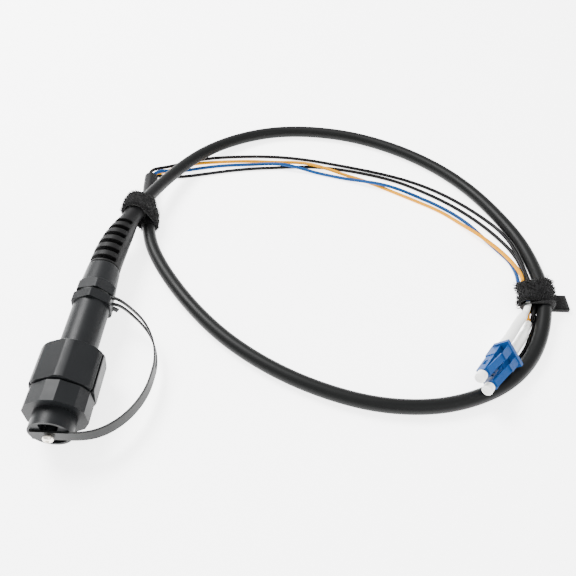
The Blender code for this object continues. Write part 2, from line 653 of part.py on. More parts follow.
def tube(name, route, spacing, diameter, sides, material, end_diameter=None):
    """A cord as a curve with a round bevel and closed ends."""
    points = read_route(route, spacing, diameter / 2)
    curve = bpy.data.curves.new(name, "CURVE")
    curve.dimensions = "3D"
    curve.bevel_depth = diameter / 2
    curve.bevel_resolution = sides
    curve.use_fill_caps = True
    spline = curve.splines.new("POLY")
    spline.points.add(len(points) - 1)
    last = 1.0 if end_diameter is None else end_diameter / diameter
    for i, point in enumerate(points):
        spline.points[i].co = (*point, 1.0)
        spline.points[i].radius = 1.0 + (last - 1.0) * i / (len(points) - 1)
    curve.materials.append(material)
    cord = bpy.data.objects.new(name, curve)
    bpy.context.collection.objects.link(cord)
    return cord


# Lanyard

def ribbon(path, lifts, width, thickness):
    """A flat band on edge along a path: its width stands upright."""
    loops = []
    for i, point in enumerate(path):
        ahead = path[min(i + 1, len(path) - 1)] - path[max(i - 1, 0)]
        side = Vector((ahead.y, -ahead.x, 0.0)).normalized() * thickness / 2
        rise = Vector((0.0, 0.0, width / 2))
        middle = point + Vector((0.0, 0.0, lifts[i]))
        loops.append([middle - side - rise, middle + side - rise,
                      middle + side + rise, middle - side + rise])
    bm = bmesh.new()
    skin_loops(bm, loops, closed=False)
    return bm


def lanyard(plug_frame, material):
    """One moulded strap: an end under the screw, a band, two strands and a ring."""
    band_route = LANYARD_ROUTE[:LANYARD_SLIT_START + 1]
    strand_route = LANYARD_ROUTE[LANYARD_SLIT_START - 1:]
    band_path = read_route(band_route, LANYARD_SPACING)
    band = add_piece("cap_lanyard", ribbon(band_path, [0.0] * len(band_path), LANYARD_WIDTH,
                                           LANYARD_THICKNESS), material)
    strand_path = read_route(strand_route, LANYARD_SPACING)
    root = (LANYARD_WIDTH - LANYARD_STRAND_WIDTH) / 2
    tools = []
    for side in (1, -1):
        lifts = []
        for i in range(len(strand_path)):
            share = i / (len(strand_path) - 1)
            straight = root + (LANYARD_STRAND_ROOT - root) * share
            bulge = LANYARD_STRAND_SPREAD - (root + LANYARD_STRAND_ROOT) / 2
            lifts.append(side * (straight + bulge * math.sin(math.pi * share) ** 2))
        tools.append(add_piece("lanyard_strand", ribbon(strand_path, lifts, LANYARD_STRAND_WIDTH,
                                                        LANYARD_THICKNESS * 0.98), None))
    ring = turned([(THREAD_DIAMETER / 2 + CLEARANCE, RING_STATION),
                   (LANYARD_RING_DIAMETER / 2, RING_STATION),
                   (LANYARD_RING_DIAMETER / 2, RING_END),
                   (THREAD_DIAMETER / 2 + CLEARANCE, RING_END)], ROUND_STEPS, closed=True)
    tools.append(add_piece("lanyard_ring", ring, None, plug_frame))
    tools.append(lanyard_tab(plug_frame))
    combine(band, tools, "UNION")
    hole = turned([(SCREW_BORE, STRAP_STATION - LANYARD_THICKNESS),
                   (SCREW_BORE, STRAP_STATION + 2 * LANYARD_THICKNESS)], SMALL_STEPS)
    combine(band, [add_piece("lanyard_hole", hole, None, plug_frame)], "DIFFERENCE")
    return band


def lanyard_tab(frame):
    """The loose end of the strap, which stands off the clamped ring."""
    start = LANYARD_RING_DIAMETER / 2 - LANYARD_THICKNESS
    half = LANYARD_TAB_WIDTH / 2
    corners = [(start, -half), (start, half), (LANYARD_TAB_REACH, half), (LANYARD_TAB_REACH, -half)]
    sine, cosine = math.sin(LANYARD_TAB_ANGLE), -math.cos(LANYARD_TAB_ANGLE)
    section = [(out * sine - side * cosine, out * cosine + side * sine) for out, side in corners]
    inset = LANYARD_THICKNESS * 0.02
    bm = bmesh.new()
    skin_loops(bm, [[(x, y, station) for x, y in section]
                    for station in (RING_STATION + inset, RING_END - inset)], closed=False)
    return add_piece("lanyard_tab_part", bm, None, frame)


# Hook-and-loop ties

def wrapped_loop(circles, extra, y):
    """Loop round some circles in an upright plane: in each direction, the farthest circle."""
    points = []
    for i in range(TIE_STEPS):
        angle = 2 * math.pi * i / TIE_STEPS
        over, up = math.cos(angle), math.sin(angle)
        x, z, radius = max(circles, key=lambda item: item[0] * over + item[1] * up + item[2])
        points.append((x + (radius + extra) * over, y, z + (radius + extra) * up))
    return points


def tie_band(bundles, middle_y, width):
    count = len(bundles) - 1
    stations = [middle_y + width * (i / count - 0.5) for i in range(count + 1)]
    inner = [wrapped_loop(circles, CLEARANCE, y) for circles, y in zip(bundles, stations)]
    outer = [wrapped_loop(circles, CLEARANCE + TIE_THICKNESS, y)
             for circles, y in zip(bundles, stations)]
    bm = bmesh.new()
    skin_loops(bm, inner + outer[::-1], closed=True)
    return bm


def plug_tie(material):
    return add_piece("tie_at_plug", tie_band(TIE_A_BUNDLES, TIE_A_Y, TIE_A_WIDTH), material)


def leg_tie(material):
    tie = add_piece("tie_at_legs", tie_band(TIE_B_BUNDLES, TIE_B_Y, TIE_B_WIDTH), material)
    x, z, radius = TIE_B_BUNDLES[1][0]
    start = x + radius * 0.6
    length = radius * 0.4 + TIE_THICKNESS + TIE_TAIL_LENGTH
    low = z - radius - CLEARANCE - TIE_THICKNESS
    bm = bmesh.new()
    bmesh.ops.create_cube(bm, size=1.0)
    bmesh.ops.scale(bm, vec=(length, TIE_TAIL_WIDTH, TIE_TAIL_THICKNESS), verts=bm.verts)
    centre = (start + length / 2, TIE_B_Y - TIE_B_WIDTH / 2 + TIE_TAIL_WIDTH / 2 + GAP,
              low + TIE_TAIL_THICKNESS / 2)
    bmesh.ops.translate(bm, vec=centre, verts=bm.verts)
    combine(tie, [add_piece("tie_tail", bm, None)], "UNION")
    return tie


# Duplex connector

def bar(section, low, high, axis):
    """Extrude a section, given in the two other axes in order, from low to high."""
    def place(pair, along):
        point = list(pair)
        point.insert(axis, along)
        return point
    bm = bmesh.new()
    skin_loops(bm, [[place(pair, low) for pair in section],
                    [place(pair, high) for pair in section]], closed=False)
    return bm


def lc_body(name, side, frame, material):
    """One plug housing with its latch lever, and its wider rear shell."""
    x = side * LC_SPACING / 2
    half = HOUSING_SIZE / 2
    body = add_piece(name, bar([(0.0, -half), (0.0, half), (HOUSING_LENGTH, half),
                                (HOUSING_LENGTH, -half)], x - half, x + half, 0), material, frame)
    tip = half + LATCH_RISE
    sink = 0.0004
    lever_section = [(LATCH_START, half - sink), (LATCH_START, half + sink),
                     (HOUSING_LENGTH, tip), (HOUSING_LENGTH, tip - LATCH_THICKNESS),
                     (LATCH_START + LATCH_FOOT_LENGTH, half + sink / 4),
                     (LATCH_START + LATCH_FOOT_LENGTH, half - sink)]
    lever = add_piece("lc_lever_part", bar(lever_section, x - LATCH_WIDTH / 2,
                                           x + LATCH_WIDTH / 2, 0), None, frame)
    top = SHELL_HEIGHT / 2
    start = HOUSING_LENGTH - sink
    shell_section = [(start, -top), (start, top), (HOUSING_LENGTH + SHELL_LENGTH, top),
                     (HOUSING_LENGTH + SHELL_LENGTH, -top)]
    shell = add_piece("lc_shell_part", bar(shell_section, x - SHELL_WIDTH / 2,
                                           x + SHELL_WIDTH / 2, 0), None, frame)
    combine(body, [lever, shell], "UNION")
    bore = lc_turned([(LC_BORE_DIAMETER / 2, -0.001), (LC_BORE_DIAMETER / 2, LC_BORE_DEPTH)], x)
    combine(body, [add_piece("lc_bore_cutter", bore, None, frame)], "DIFFERENCE")
    return body


def lc_turned(profile, x):
    """A small turned piece about the duplex frame's Y axis, at one connector's place."""
    bm = turned(profile, SMALL_STEPS)
    turn = Matrix.Rotation(-math.pi / 2, 4, "X")
    bmesh.ops.transform(bm, matrix=Matrix.Translation((x, 0.0, 0.0)) @ turn, verts=bm.verts)
    return bm


def lc_ferrule(name, side, frame, material):
    end = FERRULE_DIAMETER / 2
    edge = 0.0001
    profile = [(end - edge, -LC_CAP_DISH), (end, edge - LC_CAP_DISH), (end, LC_BORE_DEPTH - GAP)]
    return add_piece(name, lc_turned(profile, side * LC_SPACING / 2), material, frame)


def lc_cap(name, side, frame, material):
    outer = LC_CAP_DIAMETER / 2
    sleeve = LC_CAP_SLEEVE_DIAMETER / 2
    bore = FERRULE_DIAMETER / 2 + CLEARANCE
    front = -GAP - LC_CAP_LENGTH
    edge = 0.0002
    profile = [
        (outer * 0.72, front + LC_CAP_DISH),
        (outer * 0.78, front),
        (outer - edge, front),
        (outer, front + edge),
        (outer, -GAP),
        (sleeve, -GAP),
        (sleeve, LC_CAP_SLEEVE_LENGTH),
        (bore, LC_CAP_SLEEVE_LENGTH),
        (bore, -LC_CAP_LENGTH / 2),
    ]
    return add_piece(name, lc_turned(profile, side * LC_SPACING / 2), material, frame)


def duplex_clip(frame, material):
    """Bridge over both rear shells, with two triggers that press the latch levers."""
    inner = LC_SPACING / 2 + SHELL_WIDTH / 2 + GAP
    outer = inner + CLIP_CHEEK
    under = SHELL_HEIGHT / 2 + GAP
    end = HOUSING_LENGTH + SHELL_LENGTH
    section = [(-outer, -CLIP_CHEEK_DROP), (-outer, CLIP_TOP_HEIGHT), (outer, CLIP_TOP_HEIGHT),
               (outer, -CLIP_CHEEK_DROP), (inner, -CLIP_CHEEK_DROP), (inner, under),
               (-inner, under), (-inner, -CLIP_CHEEK_DROP)]
    clip = add_piece("duplex_clip", bar(section, end - CLIP_LENGTH, end, 1), material, frame)
    lever_top = HOUSING_SIZE / 2 + LATCH_RISE
    reach = end - CLIP_LENGTH / 2
    triggers = []
    for side in (-1, 1):
        x = side * LC_SPACING / 2
        tip = end - CLIP_LENGTH - TRIGGER_LENGTH
        low = lever_top + GAP
        high = CLIP_TOP_HEIGHT - GAP
        outline = [(tip, low), (tip, high - TRIGGER_FALL), (reach, high),
                   (reach, high - TRIGGER_THICKNESS), (HOUSING_LENGTH + GAP, low)]
        triggers.append(add_piece("clip_trigger_part", bar(
            outline, x - TRIGGER_WIDTH / 2, x + TRIGGER_WIDTH / 2, 0), None, frame))
    combine(clip, triggers, "UNION")
    return clip


def build():
    clear_scene()
    plastic = make_material("black_nylon", (0.028, 0.029, 0.031), 0.42)
    rubber = make_material("black_rubber", (0.022, 0.022, 0.023), 0.62)
    jacket = make_material("cable_jacket", (0.018, 0.019, 0.020), 0.55)
    black_leg = make_material("black_leg", (0.020, 0.020, 0.021), 0.50)
    yellow_leg = make_material("yellow_leg", (0.84, 0.50, 0.06), 0.45)
    blue_leg = make_material("blue_leg", (0.03, 0.22, 0.60), 0.45)
    strap = make_material("hook_and_loop", (0.015, 0.015, 0.016), 0.95)
    metal = make_material("nickel_screw", (0.72, 0.69, 0.62), 0.25, 1.0)
    strap_plastic = make_material("strap_plastic", (0.035, 0.035, 0.036), 0.30)
    blue = make_material("blue_plastic", (0.02, 0.20, 0.62), 0.38)
    white = make_material("white_plastic", (0.86, 0.86, 0.84), 0.42)
    ceramic = make_material("ferrule_ceramic", (0.93, 0.92, 0.88), 0.20)

    plug_frame = add_frame("plug_axis", Matrix.Translation((PLUG_X, PLUG_FRONT_Y, PLUG_Z))
                           @ Matrix.Rotation(-math.pi / 2, 4, "X"))
    dust_cap(plug_frame, plastic)
    cap_screw(plug_frame, metal)
    lanyard(plug_frame, strap_plastic)
    coupling_nut(plug_frame, plastic)
    plug_body(plug_frame, plastic)
    plug_ferrule("plug_ferrule_a", -1, plug_frame, ceramic)
    plug_ferrule("plug_ferrule_b", 1, plug_frame, ceramic)
    gland_nut(plug_frame, plastic)
    cable_boot(plug_frame, rubber)

    tube("cable", CABLE_ROUTE, CABLE_SPACING, CABLE_DIAMETER, 3, jacket)
    tube("breakout_sleeve", SLEEVE_ROUTE, SLEEVE_SPACING, SLEEVE_DIAMETER, 3, rubber)
    tube("leg_yellow", YELLOW_ROUTE, LEG_SPACING, LEG_DIAMETER, 2, yellow_leg)
    tube("leg_blue", BLUE_ROUTE, LEG_SPACING, LEG_DIAMETER, 2, blue_leg)
    tube("leg_black_upper", UPPER_BLACK_ROUTE, LEG_SPACING, LEG_DIAMETER, 2, black_leg)
    tube("leg_black_lower", LOWER_BLACK_ROUTE, LEG_SPACING, LEG_DIAMETER, 2, black_leg)
    plug_tie(strap)
    leg_tie(strap)

    duplex_frame = add_frame("duplex_front", Matrix.Translation(DUPLEX_FRONT)
                             @ Matrix.Rotation(DUPLEX_HEADING, 4, "Z")
                             @ Matrix.Rotation(DUPLEX_PITCH, 4, "X")
                             @ Matrix.Rotation(DUPLEX_ROLL, 4, "Y"))
    for letter, side in (("a", -1), ("b", 1)):
        lc_body(f"lc_body_{letter}", side, duplex_frame, blue)
        lc_ferrule(f"lc_ferrule_{letter}", side, duplex_frame, ceramic)
        lc_cap(f"lc_cap_{letter}", side, duplex_frame, white)
    duplex_clip(duplex_frame, blue)
    tube("lc_boot_a", LC_BOOT_A_ROUTE, LEG_SPACING, LC_BOOT_ROOT_DIAMETER, 3, white,
         LC_BOOT_TIP_DIAMETER)
    tube("lc_boot_b", LC_BOOT_B_ROUTE, LEG_SPACING, LC_BOOT_ROOT_DIAMETER, 3, white,
         LC_BOOT_TIP_DIAMETER)


build()
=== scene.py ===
# %% [markdown]
# # An outdoor fibre optic patch cable
#
# The part is a rugged round plug with a dust cap, a 7 mm black cable that lies in one loose
# loop, a breakout into four thin legs, and a duplex connector with small white caps. The packed
# CAD model fixes every place and size. These cells give each piece its finer shape and finish.

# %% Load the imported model
import math
import random

import bmesh
import bpy
from mathutils import Matrix, Vector


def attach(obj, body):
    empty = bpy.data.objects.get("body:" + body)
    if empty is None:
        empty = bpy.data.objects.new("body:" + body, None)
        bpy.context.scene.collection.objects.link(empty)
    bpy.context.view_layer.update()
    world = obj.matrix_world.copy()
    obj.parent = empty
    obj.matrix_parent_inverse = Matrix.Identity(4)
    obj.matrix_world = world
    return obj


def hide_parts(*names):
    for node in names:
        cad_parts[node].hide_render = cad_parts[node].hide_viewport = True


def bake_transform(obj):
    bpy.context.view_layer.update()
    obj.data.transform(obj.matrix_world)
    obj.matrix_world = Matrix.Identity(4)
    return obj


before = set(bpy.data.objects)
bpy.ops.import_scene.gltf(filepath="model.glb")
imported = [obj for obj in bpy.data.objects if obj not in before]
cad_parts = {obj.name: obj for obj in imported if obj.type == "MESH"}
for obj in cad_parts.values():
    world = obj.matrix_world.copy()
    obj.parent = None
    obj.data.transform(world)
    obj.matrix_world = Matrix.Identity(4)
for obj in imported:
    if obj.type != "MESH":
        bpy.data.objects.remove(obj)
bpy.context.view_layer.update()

ROOT = "cable_assembly"
CAP_BODY = "dust_cap_body"
NUT_BODY = "coupling_ring"

# %% [markdown]
# The camera stands in front of the plug and looks down at 48 degrees, as in the photograph. It
# comes first, with the cords, because it decides how much of each cord is seen.

# %% Camera
def add_object(name, data):
    thing = bpy.data.objects.new(name, data)
    bpy.context.collection.objects.link(thing)
    return thing


camera_data = bpy.data.cameras.new("camera")
camera_data.sensor_width = 36.0
camera_data.lens = 38.125
camera = add_object("camera", camera_data)
camera.location = (-0.0094, -0.2337, 0.2365)
camera.rotation_euler = (math.radians(42.0), 0.0, math.radians(2.2))
bpy.context.scene.camera = camera
print("camera at", tuple(round(value, 4) for value in camera.location))

# %% [markdown]
# A cord is read from one smooth curve through a few listed points, the same ones as in
# the CAD source. A natural cubic spline keeps its bends even, as a springy cable does.

# %% Routes
CABLE_ROUTE = [
    (-0.1100, -0.0374, 0.0145), (-0.1100, -0.0253, 0.0145), (-0.1096, -0.0153, 0.0145),
    (-0.1086, -0.0053, 0.0145), (-0.1070, 0.0047, 0.0145), (-0.1040, 0.0171, 0.0145),
    (-0.1011, 0.0268, 0.0142), (-0.0962, 0.0433, 0.0119), (-0.0884, 0.0641, 0.0087),
    (-0.0768, 0.0840, 0.0067), (-0.0628, 0.0989, 0.0052), (-0.0470, 0.1093, 0.0041),
    (-0.0310, 0.1150, 0.0036), (-0.0145, 0.1167, 0.0035), (0.0020, 0.1155, 0.0035),
    (0.0185, 0.1118, 0.0035), (0.0345, 0.1055, 0.0035), (0.0500, 0.0968, 0.0035),
    (0.0648, 0.0857, 0.0035), (0.0787, 0.0717, 0.0035), (0.0914, 0.0539, 0.0035),
    (0.1018, 0.0333, 0.0035), (0.1081, 0.0165, 0.0035), (0.1113, -0.0004, 0.0038),
    (0.1120, -0.0127, 0.0046), (0.1118, -0.0207, 0.0051), (0.1111, -0.0282, 0.0052),
    (0.1098, -0.0352, 0.0051), (0.1086, -0.0399, 0.0048), (0.1050, -0.0501, 0.0039),
    (0.1001, -0.0596, 0.0035), (0.0928, -0.0694, 0.0035),
    (0.0820, -0.0789, 0.0035), (0.0700, -0.0854, 0.0035), (0.0560, -0.0900, 0.0035),
    (0.0400, -0.0919, 0.0035), (0.0230, -0.0908, 0.0035), (0.0050, -0.0863, 0.0035),
    (-0.0130, -0.0790, 0.0035), (-0.0309, -0.0688, 0.0035), (-0.0479, -0.0558, 0.0035),
    (-0.0629, -0.0407, 0.0036), (-0.0759, -0.0246, 0.0038), (-0.0868, -0.0083, 0.0043),
    (-0.0936, 0.0053, 0.0050), (-0.0970, 0.0161, 0.0055),
]
SLEEVE_ROUTE = [
    (-0.0972, 0.0167, 0.0055), (-0.0998, 0.0293, 0.0055), (-0.1018, 0.0413, 0.0047),
    (-0.1034, 0.0523, 0.0042), (-0.1045, 0.0631, 0.0042),
]
YELLOW_ROUTE = [
    (-0.1058, 0.0642, 0.0030), (-0.1038, 0.0691, 0.0019), (-0.0985, 0.0731, 0.0011),
    (-0.0910, 0.0777, 0.0010), (-0.0820, 0.0816, 0.0010), (-0.0705, 0.0839, 0.0010),
    (-0.0587, 0.0853, 0.0010), (-0.0428, 0.0861, 0.0010), (-0.0275, 0.0853, 0.0014),
    (-0.0165, 0.0836, 0.0027), (-0.0080, 0.0815, 0.0033), (0.0020, 0.0786, 0.0026),
    (0.0140, 0.0743, 0.0012), (0.0265, 0.0686, 0.0010), (0.0370, 0.0625, 0.0010),
    (0.0470, 0.0563, 0.0010), (0.0581, 0.0493, 0.0010), (0.0696, 0.0412, 0.0010),
    (0.0762, 0.0348, 0.0011), (0.0812, 0.0279, 0.0023), (0.0856, 0.0220, 0.0033),
    (0.0904, 0.0165, 0.0033), (0.0960, 0.0090, 0.0033), (0.1004, 0.0014, 0.0033),
    (0.1023, -0.0028, 0.0033), (0.1036, -0.0066, 0.0033), (0.1044, -0.0105, 0.0032),
    (0.1043, -0.0150, 0.0030), (0.1041, -0.0200, 0.0026),
    (0.1040, -0.0282, 0.0026), (0.1034, -0.0327, 0.0027), (0.1022, -0.0362, 0.0031),
    (0.1011, -0.0392, 0.0038), (0.1006, -0.0425, 0.0045),
]
BLUE_ROUTE = [
    (-0.1034, 0.0642, 0.0054), (-0.1010, 0.0683, 0.0047), (-0.0960, 0.0715, 0.0031),
    (-0.0890, 0.0739, 0.0014), (-0.0800, 0.0766, 0.0010), (-0.0700, 0.0793, 0.0010),
    (-0.0584, 0.0814, 0.0010), (-0.0450, 0.0823, 0.0013), (-0.0330, 0.0817, 0.0026),
    (-0.0240, 0.0804, 0.0033), (-0.0140, 0.0784, 0.0024), (-0.0040, 0.0758, 0.0012),
    (0.0060, 0.0728, 0.0010), (0.0180, 0.0690, 0.0016), (0.0290, 0.0653, 0.0029),
    (0.0370, 0.0625, 0.0034), (0.0472, 0.0590, 0.0025), (0.0587, 0.0536, 0.0011),
    (0.0702, 0.0454, 0.0010), (0.0806, 0.0353, 0.0010), (0.0859, 0.0280, 0.0010),
    (0.0905, 0.0200, 0.0010), (0.0940, 0.0141, 0.0010), (0.0989, 0.0062, 0.0010),
    (0.1009, 0.0024, 0.0010), (0.1022, -0.0018, 0.0010), (0.1029, -0.0062, 0.0010),
    (0.1029, -0.0104, 0.0011), (0.1023, -0.0142, 0.0018), (0.1020, -0.0180, 0.0031),
    (0.1025, -0.0215, 0.0043),
    (0.1031, -0.0262, 0.0053), (0.1028, -0.0312, 0.0055),
]
UPPER_BLACK_ROUTE = [
    (-0.1058, 0.0642, 0.0054), (-0.1049, 0.0695, 0.0047), (-0.1003, 0.0751, 0.0026),
    (-0.0926, 0.0801, 0.0011), (-0.0850, 0.0838, 0.0010), (-0.0760, 0.0870, 0.0010),
    (-0.0590, 0.0900, 0.0010), (-0.0400, 0.0913, 0.0010), (-0.0140, 0.0895, 0.0010),
    (0.0080, 0.0845, 0.0010), (0.0300, 0.0783, 0.0010), (0.0483, 0.0717, 0.0010),
    (0.0600, 0.0659, 0.0010), (0.0718, 0.0580, 0.0010), (0.0825, 0.0486, 0.0010),
    (0.0920, 0.0382, 0.0010), (0.0990, 0.0278, 0.0016), (0.1029, 0.0173, 0.0028),
    (0.1051, 0.0073, 0.0033), (0.1063, -0.0027, 0.0037), (0.1066, -0.0117, 0.0044),
    (0.1065, -0.0207, 0.0051), (0.1062, -0.0267, 0.0052), (0.1057, -0.0313, 0.0052),
    (0.1049, -0.0347, 0.0050), (0.1040, -0.0379, 0.0040), (0.1029, -0.0409, 0.0026),
    (0.1009, -0.0443, 0.0012), (0.0989, -0.0477, 0.0010), (0.0964, -0.0519, 0.0010),
    (0.0935, -0.0569, 0.0010), (0.0900, -0.0617, 0.0010),
]
LOWER_BLACK_ROUTE = [
    (-0.1034, 0.0642, 0.0030), (-0.1010, 0.0674, 0.0021), (-0.0968, 0.0686, 0.0012),
    (-0.0900, 0.0685, 0.0010), (-0.0760, 0.0711, 0.0010), (-0.0580, 0.0757, 0.0010),
    (-0.0422, 0.0786, 0.0010), (-0.0297, 0.0800, 0.0010), (-0.0180, 0.0811, 0.0010),
    (-0.0060, 0.0815, 0.0010), (0.0080, 0.0801, 0.0010), (0.0290, 0.0750, 0.0010),
    (0.0478, 0.0676, 0.0010), (0.0594, 0.0605, 0.0010), (0.0710, 0.0520, 0.0010),
    (0.0816, 0.0423, 0.0010), (0.0914, 0.0309, 0.0010), (0.0994, 0.0188, 0.0010),
    (0.1042, 0.0088, 0.0010), (0.1063, 0.0003, 0.0010), (0.1068, -0.0077, 0.0013),
    (0.1065, -0.0147, 0.0021), (0.1065, -0.0212, 0.0027), (0.1063, -0.0282, 0.0027),
    (0.1056, -0.0347, 0.0025), (0.1051, -0.0392, 0.0014), (0.1040, -0.0432, 0.0010),
    (0.1022, -0.0467, 0.0010), (0.1001, -0.0509, 0.0010), (0.0974, -0.0559, 0.0010),
    (0.0926, -0.0625, 0.0010),
]
LC_BOOT_A_ROUTE = [
    (0.0812, -0.0638, 0.0101), (0.0870, -0.0567, 0.0095), (0.0934, -0.0471, 0.0084),
    (0.0999, -0.0377, 0.0068), (0.1027, -0.0316, 0.0055),
]
LC_BOOT_B_ROUTE = [
    (0.0847, -0.0673, 0.0062), (0.0880, -0.0627, 0.0057), (0.0925, -0.0567, 0.0053),
    (0.0969, -0.0501, 0.0049), (0.1005, -0.0428, 0.0045),
]
LANYARD_ROUTE = [
    (-0.1176, -0.1177, 0.0145), (-0.1100, -0.1177, 0.0145), (-0.1010, -0.1177, 0.0142),
    (-0.0930, -0.1159, 0.0130), (-0.0850, -0.1097, 0.0110), (-0.0788, -0.0999, 0.0094),
    (-0.0758, -0.0897, 0.0085), (-0.0750, -0.0792, 0.0082), (-0.0763, -0.0702, 0.0084),
    (-0.0795, -0.0622, 0.0092), (-0.0845, -0.0553, 0.0106), (-0.0905, -0.0501, 0.0122),
    (-0.0957, -0.0467, 0.0136), (-0.0990, -0.0454, 0.0143), (-0.1020, -0.0451, 0.0145),
]
LANYARD_SLIT_START = 7      # route point where the band's slit begins

# %% Reading a route
def solve_bends(points, steps):
    """Second derivatives at the points of a natural cubic spline, by the usual sweep."""
    count = len(points)
    bends = [Vector((0.0, 0.0, 0.0)) for _ in points]
    ratio, carried = [0.0], [Vector((0.0, 0.0, 0.0))]
    for i in range(1, count - 1):
        right = 6 * ((points[i + 1] - points[i]) / steps[i]
                     - (points[i] - points[i - 1]) / steps[i - 1])
        pivot = 2 * (steps[i - 1] + steps[i]) - steps[i - 1] * ratio[-1]
        ratio.append(steps[i] / pivot)
        carried.append((right - steps[i - 1] * carried[-1]) / pivot)
    for i in range(count - 2, 0, -1):
        bends[i] = carried[i] - ratio[i] * bends[i + 1]
    return bends


def read_route(route, spacing, lowest=0.0):
    """Even points on the spline through a route, none of them below a height."""
    points = [Vector(point) for point in route]
    steps = [(b - a).length for a, b in zip(points, points[1:])]
    knots = [0.0]
    for step in steps:
        knots.append(knots[-1] + step)
    bends = solve_bends(points, steps)
    number = max(2, round(knots[-1] / spacing) + 1)
    result, i = [], 0
    for k in range(number):
        at = knots[-1] * k / (number - 1)
        while i < len(steps) - 1 and at > knots[i + 1]:
            i += 1
        before, after, step = at - knots[i], knots[i + 1] - at, steps[i]
        place = ((bends[i] * after ** 3 + bends[i + 1] * before ** 3) / (6 * step)
                 + (points[i] / step - bends[i] * step / 6) * after
                 + (points[i + 1] / step - bends[i + 1] * step / 6) * before)
        place.z = max(place.z, lowest)
        result.append(place)
    return result


def path_length(path):
    return sum((b - a).length for a, b in zip(path, path[1:]))

# %% [markdown]
# A cord is a curve with a round bevel, so it stays a true tube in every bend. Its points are
# close together, which leaves no corners to see.

# %% Cords
CABLE_DIAMETER = 0.0070
SLEEVE_DIAMETER = 0.0078
LEG_DIAMETER = 0.0020


def lay_cord(name, route, spacing, diameter, rounding=6):
    path = read_route(route, spacing, diameter / 2)
    curve = bpy.data.curves.new(name, "CURVE")
    curve.dimensions = "3D"
    curve.bevel_depth = diameter / 2
    curve.bevel_resolution = rounding
    curve.use_fill_caps = True
    spline = curve.splines.new("POLY")
    spline.points.add(len(path) - 1)
    for point, place in zip(spline.points, path):
        point.co = (*place, 1.0)
    print(name, "length", round(path_length(path), 4))
    return add_object(name, curve)


cable = lay_cord("black_cable", CABLE_ROUTE, 0.0022, CABLE_DIAMETER, 8)
legs = {
    "leg_yellow": lay_cord("yellow_leg", YELLOW_ROUTE, 0.0011, LEG_DIAMETER),
    "leg_blue": lay_cord("blue_leg", BLUE_ROUTE, 0.0011, LEG_DIAMETER),
    "leg_black_upper": lay_cord("upper_black_leg", UPPER_BLACK_ROUTE, 0.0011, LEG_DIAMETER),
    "leg_black_lower": lay_cord("lower_black_leg", LOWER_BLACK_ROUTE, 0.0011, LEG_DIAMETER),
}
sleeve = lay_cord("breakout_cover", SLEEVE_ROUTE, 0.0015, SLEEVE_DIAMETER, 8)

# %% [markdown]
# Almost every piece of this cable is moulded plastic or rubber. What the eye reads on such a
# piece is its soft gloss and a fine mould grain, so one node group gives all of them a grain and
# a faint unevenness of tone and gloss. Each material places it with its own values.

# %% Shared shader group: moulded surface
GRAIN_SIZE, GRAIN_DEPTH, PATCH_SIZE = 2600.0, 0.12, 90.0


def new_group(name, inputs, outputs):
    group = bpy.data.node_groups.new(name, "ShaderNodeTree")
    for label, value in inputs:
        socket = group.interface.new_socket(label, in_out="INPUT", socket_type="NodeSocketFloat")
        socket.default_value = value
    for label, kind in outputs:
        group.interface.new_socket(label, in_out="OUTPUT", socket_type=kind)
    return group


def add_node(tree, kind, **values):
    node = tree.nodes.new(kind)
    for key, value in values.items():
        setattr(node, key, value)
    return node


def wire(tree, *links):
    """Links, each as the source, its output, the target and its input."""
    for source, output, target, entry in links:
        tree.links.new(source.outputs[output], target.inputs[entry])


def set_inputs(node, **values):
    """Values of a node's inputs, with an underscore for each space in an input's name."""
    for label, value in values.items():
        node.inputs[label.replace("_", " ")].default_value = value


def new_material(name):
    material = bpy.data.materials.new(name)
    material.use_nodes = True
    return material, material.node_tree, material.node_tree.nodes["Principled BSDF"]


def moulded_surface():
    """Outputs: Mask, from 0 to 1 and uneven over centimetres, and Normal, with a fine grain."""
    tree = new_group("moulded_surface",
                     [("Grain Size", GRAIN_SIZE), ("Grain Depth", GRAIN_DEPTH),
                      ("Patch Size", PATCH_SIZE)],
                     [("Mask", "NodeSocketFloat"), ("Normal", "NodeSocketVector")])
    inputs = add_node(tree, "NodeGroupInput")
    outputs = add_node(tree, "NodeGroupOutput")
    place = add_node(tree, "ShaderNodeTexCoord")
    patches = add_node(tree, "ShaderNodeTexNoise")
    set_inputs(patches, Detail=3.0)
    grain = add_node(tree, "ShaderNodeTexNoise")
    set_inputs(grain, Detail=2.0)
    bump = add_node(tree, "ShaderNodeBump")
    set_inputs(bump, Distance=0.0001)
    wire(tree, (place, "Object", patches, "Vector"), (place, "Object", grain, "Vector"),
         (inputs, "Patch Size", patches, "Scale"), (inputs, "Grain Size", grain, "Scale"),
         (grain, "Fac", bump, "Height"), (inputs, "Grain Depth", bump, "Strength"),
         (patches, "Fac", outputs, "Mask"), (bump, "Normal", outputs, "Normal"))
    return tree


MOULDED = moulded_surface()

# %% Materials of the moulded pieces
def moulded_material(name, dark, light, rough, grain=GRAIN_SIZE, depth=GRAIN_DEPTH,
                     patch=PATCH_SIZE, shine=0.5):
    """Tone and gloss both wander a little between two values over the piece."""
    material, tree, shader = new_material(name)
    surface = add_node(tree, "ShaderNodeGroup", node_tree=MOULDED)
    set_inputs(surface, Grain_Size=grain, Grain_Depth=depth, Patch_Size=patch)
    set_inputs(shader, Specular_IOR_Level=shine)
    tone = add_node(tree, "ShaderNodeMix", data_type="RGBA")
    set_inputs(tone, A=(*dark, 1.0), B=(*light, 1.0))
    gloss = add_node(tree, "ShaderNodeMapRange")
    set_inputs(gloss, From_Min=0.3, From_Max=0.7, To_Min=rough - 0.04, To_Max=rough + 0.05)
    wire(tree, (surface, "Mask", tone, "Factor"), (surface, "Mask", gloss, "Value"),
         (tone, "Result", shader, "Base Color"), (gloss, "Result", shader, "Roughness"),
         (surface, "Normal", shader, "Normal"))
    return material


